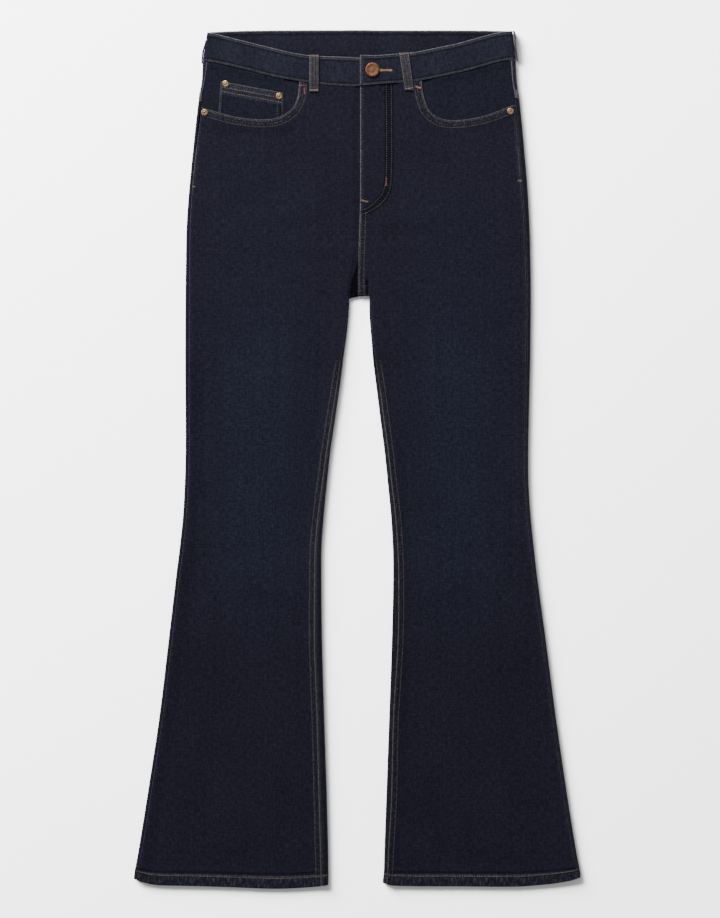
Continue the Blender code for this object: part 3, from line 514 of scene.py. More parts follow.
def smooth(share):
    """Ease from 0 to 1 as the share runs from 0 to 1."""
    share = np.clip(share, 0.0, 1.0)
    return share * share * (3 - 2 * share)


def read(table, key, column, value):
    """Read values from a table on a smooth curve through its rows."""
    keys = np.array([getattr(row, key) for row in table], float)
    levels = np.array([getattr(row, column) for row in table], float)
    value = np.clip(value, keys[0], keys[-1])
    end = np.clip(np.searchsorted(keys, value), 1, len(keys) - 1)
    start = end - 1
    before = np.maximum(start - 1, 0)
    after = np.minimum(end + 1, len(keys) - 1)
    span = keys[end] - keys[start]
    share = (value - keys[start]) / span
    low = levels[start]
    high = levels[end]
    slope_in = (high - levels[before]) / (keys[end] - keys[before]) * span
    slope_out = (levels[after] - low) / (keys[after] - keys[start]) * span
    square = share * share
    cube = square * share
    return (
        (2 * cube - 3 * square + 1) * low
        + (cube - 2 * square + share) * slope_in
        + (3 * square - 2 * cube) * high
        + (cube - square) * slope_out
    )


def leg(side, column, height):
    """A value of the leg table at a height, the outer edge let out a little."""
    ease = OUTER_EASE[side] if column == "outer" else 0.0
    return read(LEGS[side], "height", column, height) + ease


def edge_of(table, across):
    """Height of an edge that a table gives as places."""
    return read(table, "across", "height", across)


def hem_rise(side, across, height):
    """How far the hem's curve lifts a row of the cloth, fading out up the leg."""
    return (edge_of(HEMS[side], across) + HEM_LIFT) * (1 - smooth(height / HEM_FADE))


def above_hem(side, across, height):
    """Height of a place above the hem's curved edge."""
    return height - hem_rise(side, across, height)


def around(along, radius):
    """Distance in from a folded edge, and height, at a distance along the cloth from it."""
    quarter = radius * math.pi / 2
    turn = np.clip(along, -quarter, quarter) / radius
    beyond = np.maximum(np.abs(along) - quarter, 0.0)
    return radius * (1 - np.cos(turn)) + beyond, radius * (1 + np.sin(turn))


def along_from(inset, radius):
    """Distance along the cloth from a folded edge to a place that far in on the upper face."""
    inset = max(float(inset), 0.0)
    if inset < radius:
        return radius * math.acos(1 - inset / radius)
    return radius * math.pi / 2 + inset - radius


def round_height(inset, radius):
    """Height of the upper face near a folded edge."""
    inset = np.clip(inset, 0.0, radius)
    return radius + np.sqrt(radius ** 2 - (radius - inset) ** 2)


def valley_share(height):
    """Eased share of the way up the valley beside the centre seam."""
    return smooth((height - CROTCH) / (VALLEY_TOP - CROTCH))


def fold_line(side, height):
    """Where the thigh's fold runs beside the crotch seam."""
    climb = valley_share(height)
    foot = leg(side, "inner", CROTCH)
    return foot + (FOLD_TOP[side] - foot) * climb


def fly_edge(height):
    """Where the left front's centre edge runs, which leans over towards the crotch."""
    return FLY_EDGE - FLY_LEAN * smooth((FLY_LEAN_TOP - height) / FLY_LEAN_FADE)


def strip_face(side, height):
    """Height of the centre seam's strip, which sinks towards the crotch."""
    sink = STRIP_SINK * (1 - valley_share(height))
    return STRIP_FACE[side] - sink


def coin_bump(across, height):
    """Rise of the right front over the small pocket's hidden foot."""
    middle = (COIN_LEFT + COIN_RIGHT) / 2
    half = (COIN_LEFT - COIN_RIGHT) / 2 + BUMP_MARGIN
    aside = np.maximum(np.abs(across - middle) - half, 0.0)
    below = np.maximum(COIN_FOOT - COIN_TILT - height, 0.0)
    return LAYER * (1 - smooth(np.hypot(aside, below) / BUMP_RAMP))


def fly_rise(across, height):
    """Rise of the left front at the top of the fly, up to the waistband's thick end."""
    aside = np.maximum(across - FLY_RISE_SIDE, 0.0)
    below = np.maximum(FLY_RISE_TOP - height, 0.0)
    return FLY_RISE * (1 - smooth(np.hypot(aside, below) / FLY_RISE_RAMP))


def face_height(side, across, height):
    """Height of the upper face, before pockets and the fly raise it: the front's, and
    the back's strips beside the front's seams."""
    outer_inset = leg(side, "outer", height) - across
    middle = read(LIES, "height", "face", above_hem(side, across, height))
    sink = smooth((outer_inset - ROUND) / SETTLE)
    inner_inset = across - leg(side, "inner", height)
    leg_sink = sink * smooth((inner_inset - ROUND) / SETTLE)
    edge = np.minimum(outer_inset, inner_inset)
    leg_face = round_height(edge, ROUND) - (2 * ROUND - middle) * leg_sink
    line = fold_line(side, height)
    presence = 1 - valley_share(height)
    beside = smooth((across - line - ROUND) / SETTLE)
    hip_sink = sink * (1 - presence * (1 - beside))
    thigh = round_height(outer_inset, ROUND) - (2 * ROUND - middle) * hip_sink
    ramp = STRIP_RAMP - STRIP_RAMP_CUT * presence
    strip = smooth((line + ramp * STRIP_RAMP_SHARE - across) / ramp)
    hip_face = thigh + (strip_face(side, height) - thigh) * strip
    return np.where(height < CROTCH, leg_face, hip_face)


def front_face(side, across, height):
    """Height of a front panel's upper face, with what lies under it."""
    lift = coin_bump if side == "right" else fly_rise
    return face_height(side, across, height) + lift(across, height)


def box_lift(across, height, box):
    """Smooth rise of the cloth over a flat piece that lies under it."""
    aside = np.maximum(np.abs(across - box.middle) - box.half, 0.0)
    beyond = np.maximum(np.maximum(box.low - height, height - box.high), 0.0)
    return box.rise * (1 - smooth(np.hypot(aside, beyond) / LIFT_RAMP))


def ground_face(side, across, height):
    """Height of the underside, lifted over the back pocket and the centre back loop."""
    pocket = Box(
        BACK_POCKET_CENTRE, BACK_POCKET_WIDTH / 2 + LIFT_MARGIN,
        BACK_POCKET_POINT - 2 * LIFT_MARGIN, BACK_POCKET_TOP + 2 * LIFT_MARGIN, CLOTH + SEAM_GAP,
    )
    loop = Box(
        SIGN[side] * CENTRE_BACK, LOOP_WIDTH / 2 + LIFT_MARGIN,
        BACK_LOOP_FOOT - 2 * LIFT_MARGIN, LENGTH, BACK_LOOP_CLOTH + SEAM_GAP,
    )
    return np.maximum(box_lift(across, height, pocket), box_lift(across, height, loop))


def yoke_seam(side, across):
    """Height of the yoke seam."""
    share = np.clip(across / leg(side, "outer", YOKE_SIDE[side]), 0.0, 1.0)
    return YOKE_CENTRE + (YOKE_SIDE[side] - YOKE_CENTRE) * share


def row_height(side, level, across):
    """Height of a row's points, which follow the hem and the crotch's lower edge."""
    near = 1 - smooth((across - CROTCH_NEAR) / CROTCH_FADE)
    if level == EDGE_LEVEL:
        slope = SLOPE_FOOT + np.maximum(SIGN[side] * across - SLOPE_FROM, 0.0) * SLOPE_RISE
        return level + (slope - level) * near
    if level == LEG_LEVEL:
        return level + (CROTCH_CORNER[side] - level) * near
    return level + hem_rise(side, across, level)


def band_face(side, across):
    """Height of the waistband's upper face at the front."""
    outer = (BAND_SIDE_TOP[side] + BAND_SIDE_FOOT[side]) / 2
    sink = (2 * BAND_ROUND - BAND_FACE) * smooth((outer - across - BAND_ROUND) / SETTLE)
    rise = 0.0
    if side == "left":
        rise = OVERLAP_RISE * smooth((OVERLAP_FROM - across) / (OVERLAP_FROM - OVERLAP_TO))
    return 2 * BAND_ROUND - sink + rise


def reach_along(across, height):
    """Distance along a line of points, from its start to each of them."""
    return np.concatenate([[0], np.cumsum(np.hypot(np.diff(across), np.diff(height)))])


def curve_line(places, step=0.4):
    """A dense line of points on a smooth curve through the places."""
    across = np.array([place.across for place in places], float)
    height = np.array([place.height for place in places], float)
    points = np.stack([across, height], 1)
    padded = np.vstack([points[:1], points, points[-1:]])
    share = np.linspace(0, 1, 40, endpoint=False)[:, None]
    runs = []
    for first, low, high, last in zip(padded, padded[1:], padded[2:], padded[3:]):
        runs.append(0.5 * (
            2 * low + (high - first) * share
            + (2 * first - 5 * low + 4 * high - last) * share ** 2
            + (3 * low - first - 3 * high + last) * share ** 3
        ))
    line = np.vstack(runs + [points[-1:]])
    reach = reach_along(*line.T)
    even = np.linspace(0, reach[-1], int(reach[-1] / step) + 2)
    return np.stack([np.interp(even, reach, line[:, 0]), np.interp(even, reach, line[:, 1])], 1)


def on_line(line, shares):
    """Points at shares of a line's length."""
    reach = reach_along(*line.T)
    wanted = np.asarray(shares) * reach[-1]
    return np.interp(wanted, reach, line[:, 0]), np.interp(wanted, reach, line[:, 1])


def from_line(line, across, height):
    """Distance of points from a line, and the place along it."""
    shape = across.shape
    gap = np.hypot(
        across.reshape(-1, 1) - line[None, :, 0], height.reshape(-1, 1) - line[None, :, 1]
    )
    reach = reach_along(*line.T)
    nearest = gap.argmin(1)
    return gap.min(1).reshape(shape), reach[nearest].reshape(shape)


def creased(creases, across, height):
    """Sum of soft ridges and troughs."""
    total = np.zeros_like(across + height)
    for crease in creases:
        turn = math.radians(crease.turn)
        right = across - crease.across
        up = height - crease.height
        along = right * math.cos(turn) + up * math.sin(turn)
        aside = up * math.cos(turn) - right * math.sin(turn)
        aside = aside + 0.12 * crease.width * np.sin(along / crease.reach * 4)
        total = total + crease.depth * np.exp(
            -(aside / crease.width) ** 2 - (along / crease.reach) ** 2
        )
    return total


# Fine relief of the seams


def turned_edge(distance, radius=0.8):
    """Drop of the cloth at a turned edge."""
    inside = np.clip(distance, 0.0, radius)
    return np.sqrt(radius ** 2 - (radius - inside) ** 2) - radius


def ripples(along, wave, phase):
    """Uneven puckers along a seam, between -1 and 1."""
    swing = along / wave * 2 * math.pi + phase
    uneven = 1.1 * np.sin(along / wave * 1.7 + phase * 2.3) + 0.7 * np.sin(along / wave * 0.61)
    return np.sin(swing + uneven) * (0.65 + 0.35 * np.sin(along / wave * 1.13 + phase))


def bell(value, middle, width):
    """1 at the middle, fading out on both sides of it."""
    return np.exp(-((value - middle) / width) ** 2)


def groove(distance, row, width=0.8):
    """A stitch row's groove, 1 at its bottom."""
    return bell(distance, row, width)


def seam_swell(distance, along, rows, wave):
    """Swell of the doubled cloth beside a seam, with grooves at its rows and puckers."""
    first, second = rows
    doubled = 1 - smooth((distance - second + 0.6) / 1.8)
    swell = 0.34 * doubled - 0.20 * groove(distance, first) - 0.24 * groove(distance, second)
    middle = (first + second) / 2
    pucker = bell(distance, middle, second - first)
    return swell + 0.14 * pucker * ripples(along, wave, 0.3)


class Cloth:
    """The points of a piece of cloth in a grid, and what its finish needs to know of them."""

    def __init__(self, side, across, height, up=None):
        self.side = side
        self.across = np.array(across, float)
        self.height = np.array(height, float)
        self.up = np.zeros_like(self.across) if up is None else np.array(up, float)
        self.edge = np.full_like(self.across, NO_EDGE)
        self.one = np.full_like(self.across, NO_ROW)
        self.two = np.full_like(self.across, NO_ROW)
        self.worn = np.zeros_like(self.across)
        self.along = self.height.copy()
        # The wash's pale spots, and, below zero, painted shade in the crotch valley.
        self.fade = np.zeros_like(self.across)
        self.hem = np.full_like(self.across, NO_EDGE)
        self.flat = (self.across, self.height)

    def seam(self, distance, along, rows, worn):
        """Note an edge or seam wherever it is the nearest one."""
        near = distance < self.edge
        self.edge = np.where(near, distance, self.edge)
        self.one = np.where(near, rows[0], self.one)
        self.two = np.where(near, rows[1], self.two)
        self.worn = np.where(near, worn, self.worn)
        self.along = np.where(near, along, self.along)

    def unroll(self, column):
        """Lay the cloth flat from one of its columns, for its weave and its cut."""
        run = np.hypot(np.diff(self.across, axis=1), np.diff(self.up, axis=1))
        reach = np.concatenate([np.zeros((len(run), 1)), np.cumsum(run, axis=1)], 1)
        start = self.across[:, column:column + 1] + reach[:, column:column + 1]
        self.flat = (start - reach, self.height)


# The front panels


def parted(parts):
    """Positions of fine columns, as fractions of the solid's columns."""
    positions = [0.0]
    for cell, count in enumerate(parts):
        positions += [cell + (step + 1) / count for step in range(count)]
    return np.array(positions)


def stepped(high, low, step):
    """Levels going down from one height to another, the second left out."""
    count = max(int(round((high - low) / step)), 1)
    return list(np.linspace(high, low, count, endpoint=False))


def leg_levels(top, step):
    """Levels of a leg's rows, from the hip down to the hem."""
    return (
        stepped(top, 768, step) + [768.0, 765.0, EDGE_LEVEL, LEG_LEVEL]
        + stepped(753.5, 40, step) + stepped(40, 20, 2.2) + stepped(20, 2, 1.5)
        + [2.0, 1.2, 0.6, 0.2, 0.0]
    )


def level_columns(side, level):
    """Distances from the centre line of the columns of a solid front's row."""
    outer_height = row_height(side, level, leg(side, "outer", level))
    outer = leg(side, "outer", outer_height)
    start = along_from(leg(side, "outseam", outer_height), ROUND)
    columns = [outer - around(start + step, ROUND)[0] for step in FRONT_OUTER_STEPS]
    if level > LEG_LEVEL:
        climb = valley_share(level)
        end = {"right": -FLY_EDGE - FLY_UNDERLAP, "left": fly_edge(level)}[side]
        strip = fold_line(side, level) - end
        spread = 1 + CENTRE_SPREAD * climb
        inner_columns = [
            end + strip * column.share + column.beyond * spread for column in FRONT_CENTRE_COLUMNS
        ]
    else:
        inner_height = row_height(side, level, leg(side, "inner", level))
        finish = along_from(leg(side, "inseam", inner_height), ROUND)
        inner = leg(side, "inner", inner_height)
        inner_columns = [inner + around(finish + step, ROUND)[0] for step in FRONT_INNER_STEPS]
    first = columns[-1]
    last = inner_columns[0]
    for step in range(1, FRONT_MIDDLE):
        columns.append(first + (last - first) * step / FRONT_MIDDLE)
    return np.array(columns + inner_columns, float)


def front_top(side, columns, end):
    """The top edge of a front panel: the pocket opening, then the waistband's foot."""
    scoop = curve_line(SCOOPS[side])
    across, height = on_line(scoop, np.clip(columns / FRONT_CORNER, 0, 1))
    share = (columns - FRONT_CORNER) / (columns[-1] - FRONT_CORNER)
    beside = scoop[-1][0] + (end - scoop[-1][0]) * np.clip(share, 0, 1)
    waist = edge_of(BAND_FEET[side], beside) - SEAM_GAP
    return np.where(share < 0, across, beside), np.where(share < 0, height, waist)


def front_cloth(side):
    """The fine points of a front panel."""
    columns = parted(FRONT_PARTS)
    solid = np.arange(len(FRONT_PARTS) + 1)
    join = np.interp(columns, solid, level_columns(side, FRONT_JOIN))
    top_across, top_height = front_top(side, columns, join[-1])
    blends = np.concatenate([[0, 0.004, 0.009, 0.016, 0.025, 0.036], np.linspace(0.05, 1, 42)])
    across = [top_across + (join - top_across) * blend for blend in blends[:-1]]
    height = [top_height + (FRONT_JOIN - top_height) * blend for blend in blends[:-1]]
    for level in leg_levels(FRONT_JOIN, FRONT_STEP):
        places = np.interp(columns, solid, level_columns(side, level))
        across.append(places)
        height.append(row_height(side, level, places))
    cloth = Cloth(side, across, height)
    cloth.up = front_surface(side, cloth.across, cloth.height)
    mark_front(cloth)
    cloth.unroll(len(columns) // 2)
    return cloth


def front_edges(side, across, height):
    """Distances of points on a front panel from its edges, with the place along the opening."""
    outseam = leg(side, "outer", height) - leg(side, "outseam", height) - across
    inseam = across - leg(side, "inner", height) - leg(side, "inseam", height)
    inseam = np.where(height < CROTCH, inseam, NO_EDGE)
    rise = across - fly_edge(height) if side == "left" else np.full_like(across, NO_EDGE)
    rise = np.where(height > CROTCH - 1, rise, NO_EDGE)
    near = height > SCOOP_NEAR
    scoop, along = near_line(curve_line(SCOOPS[side], 0.8), across, height, near)
    return outseam, inseam, rise, scoop, along


def near_line(line, across, height, near):
    """Distance from a line, and the place along it, for the points that are near it."""
    distance = np.full_like(across, NO_EDGE)
    along = np.zeros_like(across)
    if near.any():
        distance[near], along[near] = from_line(line, across[near], height[near])
    return distance, along


def fly_stitching(side, across, height):
    """Distance from each row of the fly's curved stitching, and the place along it."""
    near = (height > FLY_NEAR.height) & (across < FLY_NEAR.across) & (side == "left")
    return [near_line(curve_line(curve, 1.0), across, height, near) for curve in FLY_CURVES]


def mark_front(cloth):
    """Note a front panel's seams, rows, wear and fade, with the painted shade of the crotch valley.
    """
    side = cloth.side
    across = cloth.across
    height = cloth.height
    outseam, inseam, rise, scoop, along = front_edges(side, across, height)
    hip = smooth((height - 870) / 60)
    cloth.seam(outseam, height, NO_ROWS, 0.34 + 0.4 * hip)
    lower = smooth((INSEAM_TOP - height) / 60)
    cloth.seam(inseam, height, rows_where(lower > 0, INSEAM_ROWS), 0.15 + 0.6 * lower)
    rows = rows_where(height < FLY_CURVES[0][-1].height, RISE_ROWS)
    cloth.seam(rise, height, rows, 0.95 - 0.70 * smooth((862 - height) / 70))
    (inner, place), (outer, _) = fly_stitching(side, across, height)
    cloth.seam(np.minimum(inner, outer), place, (0.0, NO_ROW), 0.0)
    cloth.seam(scoop, along, SCOOP_ROWS, 0.52 + 0.38 * smooth((height - 1000) / 14))
    cloth.hem = above_hem(side, across, height)
    # The fade goes below zero where the crotch valley's painted shade darkens the cloth.
    cloth.fade = washed(FRONT_FADES, across, height) - painted_crotch_shade(side, across, height)
    cloth.fade = cloth.fade + 0.12 * smooth((330 - height) / 160)


def rows_where(sewn, rows):
    """Stitch rows, only where they are sewn."""
    return [np.where(sewn, row, NO_ROW) for row in rows]


def washed(spots, across, height):
    """Sum of the wash's pale spots."""
    return sum(
        spot.depth * np.exp(
            -((across - spot.across) / spot.wide) ** 2 - ((height - spot.height) / spot.tall) ** 2
        )
        for spot in spots
    )


def painted_crotch_shade(side, across, height):
    """Depth of the painted shade in the valley beside the centre seam, which widens down to the
    crotch.
    """
    if side == "right":
        width = 1.5 + 9.5 * smooth((812 - height) / 46)
        inside = smooth((width - across) / 3.0)
        return 1.3 * inside * smooth((832 - height) / 56)
    seam = across - fly_edge(height) - RISE_ROWS[1]
    inside = smooth((seam - 1.2) / 1.6) * smooth((6.4 - seam) / 2.6)
    return 1.2 * inside * smooth((794 - height) / 20)


def front_relief(side, across, height):
    """The front's creases, seam puckers, thick edges and roped hem."""
    outseam, inseam, rise, scoop, along = front_edges(side, across, height)
    hem = above_hem(side, across, height)
    relief = creased(FRONT_CREASES[side], across, height)
    relief = relief * smooth(np.minimum(outseam, 60) / 14) * smooth((scoop - 8) / 20)
    relief = relief + turned_edge(outseam) + turned_edge(inseam, 0.6)
    relief = relief + 0.10 * ripples(height, 11.0, 1.0) * bell(outseam, 0, 5)
    stitched = smooth((INSEAM_TOP - height) / 60)
    relief = relief + stitched * seam_swell(inseam, height, INSEAM_ROWS, 7.5)
    if side == "left":
        below = smooth((FLY_CURVES[1][-1].height - height) / 10)
        relief = relief + turned_edge(rise) + below * seam_swell(rise, height, RISE_ROWS, 7.0)
        fly = (1 - below) * bell(rise, 3, 4)
        relief = relief + 0.26 * fly * ripples(height, 8.5, 0.4)
        for distance, place in fly_stitching(side, across, height):
            relief = relief - 0.20 * groove(distance, 0.0, 1.1)
            relief = relief + 0.12 * ripples(place, 7.5, 0.9) * bell(distance, 0, 4.5)
    relief = relief + turned_edge(scoop) + seam_swell(scoop, along, SCOOP_ROWS, 7.0)
    return relief + hem_relief(across, hem, 0.7 + SIGN[side])


def roped(hem):
    """1 between the hem's edge and its stitching, where the cloth ropes."""
    return smooth(hem / 2.5) * smooth((HEM_ROW + 0.4 - hem) / 2.5)


def hem_relief(across, hem, phase):
    """The roped hem: slanting ridges between its edge and its stitching."""
    rope = roped(hem)
    relief = 0.34 * rope * ripples(across + 1.1 * hem, 10.5, phase)
    relief = relief - 0.32 * groove(hem, HEM_ROW, 1.1) + turned_edge(hem, 1.2)
    relief = relief - 0.5 * groove(hem, HEM_ROW + 5.0, 2.4)
    above = bell(hem - HEM_ROW, 9, 6)
    return relief + 0.12 * above * ripples(across, 13.0, 2.0)


def front_surface(side, across, height):
    """Height of a front panel's finished upper face."""
    return front_face(side, across, height) + front_relief(side, across, height)


# The back panels and yokes


def back_line(side, level, height_at, edge_height=None):
    """One line across a back piece: round the outer fold, along the ground, to the inner end."""
    quarter = ROUND * math.pi / 2
    follow = height_at if edge_height is None else None
    if edge_height is None:
        edge_height = float(height_at(leg(side, "outer", level)))
    start = along_from(leg(side, "outseam", edge_height), ROUND) - SEAM_GAP
    along = np.linspace(start, -quarter, BACK_WRAP_PARTS + 1)
    outer = wrapped(side, "outer", along, edge_height, follow)
    rim = start - along
    outer[2] += turned_edge(rim, 0.6)
    ground_start = leg(side, "outer", edge_height) - ROUND
    ground_end = leg(side, "inner", min(level, CROTCH)) + ROUND
    even = smooth((CROTCH - level) / BACK_EVEN_FADE)
    coarse = [ground_start]
    columns = BACK_HIP_COLUMNS + [ground_end]
    for step, hip_across in enumerate(columns, start=1):
        across = ground_start + (ground_end - ground_start) * step / len(columns)
        coarse.append(hip_across + (across - hip_across) * even)
    across = np.interp(parted(BACK_GROUND_PARTS), range(len(coarse)), coarse)[1:]
    height = height_at(across)
    ground = np.stack([across, height, under_surface(side, across, height)])
    shares = np.linspace(0, 1, BACK_WRAP_PARTS + 1)[1:]
    if level > LEG_LEVEL:
        seam = SIGN[side] * CENTRE_BACK + SEAM_GAP / 2
        across = ground_end + (seam - ground_end) * shares
        height = height_at(across)
        curl = CURL * smooth((CURL_TOP - height) / CURL_FADE) * shares
        inner = np.stack([across, height, under_surface(side, across, height) + curl])
    else:
        edge_height = float(height_at(leg(side, "inner", level)))
        inset = leg(side, "inseam", edge_height)
        gap = SEAM_GAP + CURVED_SEAM_GAP * (1 - smooth((inset - 1) / ROUND))
        finish = along_from(inset, ROUND) - gap
        along = -quarter + (finish + quarter) * shares
        inner = wrapped(side, "inner", along, edge_height, follow)
        inner[2] += turned_edge(finish - along, 0.6)
    return np.concatenate([outer, ground, inner], 1)


def wrapped(side, edge, along, height, height_at=None):
    """A back panel's points round one of its folds."""
    inset, up = around(along, ROUND)
    if edge == "outer":
        across = leg(side, "outer", height) - inset
    else:
        across = leg(side, "inner", height) + inset
    height = np.full_like(across, height) if height_at is None else height_at(across)
    up = np.where(along > ROUND * math.pi / 2, face_height(side, across, height), up)
    under = under_surface(side, across, height)
    return np.stack([across, height, up + np.where(along < 0, under, 0.0)])


def under_surface(side, across, height):
    """Height of the underside: flat on the ground but for soft lifts, seams and pockets."""
    lift = np.clip(creased(BACK_CREASES[side], across, height), 0, 1)
    inset = np.minimum(leg(side, "outer", height) - across, NO_EDGE)
    lift = lift * smooth((inset - ROUND) / 20) * smooth((height - 20) / 50)
    seat = np.where(height > CROTCH, across - SIGN[side] * CENTRE_BACK, NO_EDGE)
    rows = sum(groove(seat, row) for row in SEAT_ROWS)
    lift = lift + 0.34 * rows - turned_edge(seat, 0.6)
    lift = lift + 0.10 * (1 + ripples(height, 8.0, 0.2)) * bell(seat, 5, 4)
    yoke = np.abs(height - yoke_seam(side, across)) - SEAM_GAP / 2
    above = height > yoke_seam(side, across)
    rows = sum(groove(yoke, row) for row in YOKE_ROWS)
    lift = lift + 0.34 * rows * above - turned_edge(yoke, 0.6)
    hem = above_hem(side, across, height)
    rope = roped(hem)
    lift = lift + 0.17 * rope * (1 + ripples(across - 1.1 * hem, 10.5, 1.9))
    lift = lift + 0.34 * groove(hem, HEM_ROW, 1.1) - turned_edge(hem, 1.0)
    return ground_face(side, across, height) + lift


def back_cloth(side):
    """The fine points of a back panel."""
    def seam_height(across):
        return yoke_seam(side, across) - SEAM_GAP / 2
    lines = []
    for share in [0.0, 0.02, 0.05, 0.1, 0.2, 0.35, 0.5, 0.65, 0.82]:
        def height_at(across, part=share):
            return seam_height(across) + (POCKET_ROW - seam_height(across)) * part
        lines.append(back_line(side, FRONT_JOIN, height_at))
    for level in stepped(POCKET_ROW, FRONT_JOIN, BACK_STEP) + leg_levels(FRONT_JOIN, BACK_STEP):
        def height_at(across, row_level=level):
            return row_height(side, row_level, across)
        lines.append(back_line(side, level, height_at))
    across, height, up = np.stack(lines, 1)
    cloth = Cloth(side, across, height, up)
    mark_back(cloth)
    cloth.hem = above_hem(side, across, height)
    return cloth


def yoke_cloth(side):
    """The fine points of a yoke."""
    seam_edge = leg(side, "outer", SEAM_TOP) - leg(side, "outseam", SEAM_TOP)
    edge_top = float(edge_of(BAND_FEET[side], seam_edge)) - SEAM_GAP
    edge_foot = YOKE_SIDE[side] + SEAM_GAP / 2
    lines = []
    for share in np.concatenate([np.linspace(0, 0.9, 28), [0.93, 0.95, 0.97, 0.985, 0.995, 1.0]]):
        def height_at(across, part=share):
            top = edge_of(BACK_BAND_FEET[side], across) - SEAM_GAP
            foot = yoke_seam(side, across) + SEAM_GAP / 2
            return top + (foot - top) * part
        edge_height = edge_top + (edge_foot - edge_top) * share
        lines.append(back_line(side, FRONT_JOIN, height_at, edge_height))
    across, height, up = np.stack(lines, 1)
    cloth = Cloth(side, across, height, up)
    mark_back(cloth)
    return cloth


def mark_back(cloth):
    """Note a back piece's seams, rows, wear and fade."""
    side = cloth.side
    height = cloth.height
    upper = cloth.up > ROUND
    shown = cloth.across > (leg(side, "outer", height) + leg(side, "inner", height)) / 2
    outseam = cloth.across - leg(side, "outer", height) + leg(side, "outseam", height)
    inseam = leg(side, "inner", height) + leg(side, "inseam", height) - cloth.across
    on_yoke = smooth((height - YOKE_SIDE[side]) / 6)
    outseam = outseam - YOKE_RIM * on_yoke
    worn = 0.3 + 0.55 * on_yoke
    cloth.seam(np.where(upper & shown, outseam, NO_EDGE), height, NO_ROWS,worn)
    cloth.seam(np.where(upper & ~shown, inseam, NO_EDGE), height, NO_ROWS, 0.55)
    seat = np.where(upper | (height < CROTCH), NO_EDGE, cloth.across - SIGN[side] * CENTRE_BACK)
    cloth.seam(seat, height, SEAT_ROWS, 0.6)
    yoke = height - yoke_seam(side, cloth.across)
    along = cloth.across
    above = np.where(yoke > 0, yoke, NO_EDGE)
    cloth.seam(above, along, YOKE_ROWS, 0.6)
    cloth.fade = washed(BACK_FADES, cloth.across, height)
    cloth.unroll(BACK_WRAP_PARTS + sum(BACK_GROUND_PARTS) // 2)


# The waistband, facings, pockets and loops


def band_edges(side, across, height):
    """Distances of a place on the waistband's front from its top, its foot and its end."""
    top = edge_of(BAND_TOPS[side], across) - height
    foot = height - edge_of(BAND_FEET[side], across)
    return top, foot, across - BAND_END[side]


def band_relief(top, foot, end, along):
    """The waistband's turned edges, stitch grooves and puckers."""
    relief = turned_edge(top, 1.1) + turned_edge(foot, 0.9) + turned_edge(end, 1.0)
    relief = relief - 0.26 * groove(top, BAND_ROW) - 0.26 * groove(foot, BAND_FOOT_ROW)
    relief = relief + 0.10 * ripples(along, 8.0, 0.5) * bell(top, 3, 4)
    relief = relief + 0.12 * ripples(along, 7.0, 1.5) * bell(foot, 3, 5)
    middle = bell((top - foot) / 2, 0, 12)
    return relief + 0.16 * middle * ripples(along, 41.0, 0.8)


def band_surface(side, across, height):
    """Height of the waistband's upper face."""
    top, foot, end = band_edges(side, across, height)
    end = end if side == "left" else np.full_like(end, NO_EDGE)
    return band_face(side, across) + band_relief(top, foot, end, across)


def band_under(side, across, height):
    """Height of the waistband's outer face at the back, which lies on the ground."""
    top = edge_of(BACK_BAND_TOPS[side], across) - height
    foot = height - edge_of(BACK_BAND_FEET[side], across)
    lift = 0.3 * groove(top, BAND_ROW) + 0.3 * groove(foot, BAND_FOOT_ROW)
    return ground_face(side, across, height) + lift - turned_edge(top, 1.1) - turned_edge(foot, 0.9)


def band_inside(side, across, height):
    """Height of the waistband's inner face at the back."""
    return band_under(side, across, height) + BAND_CLOTH


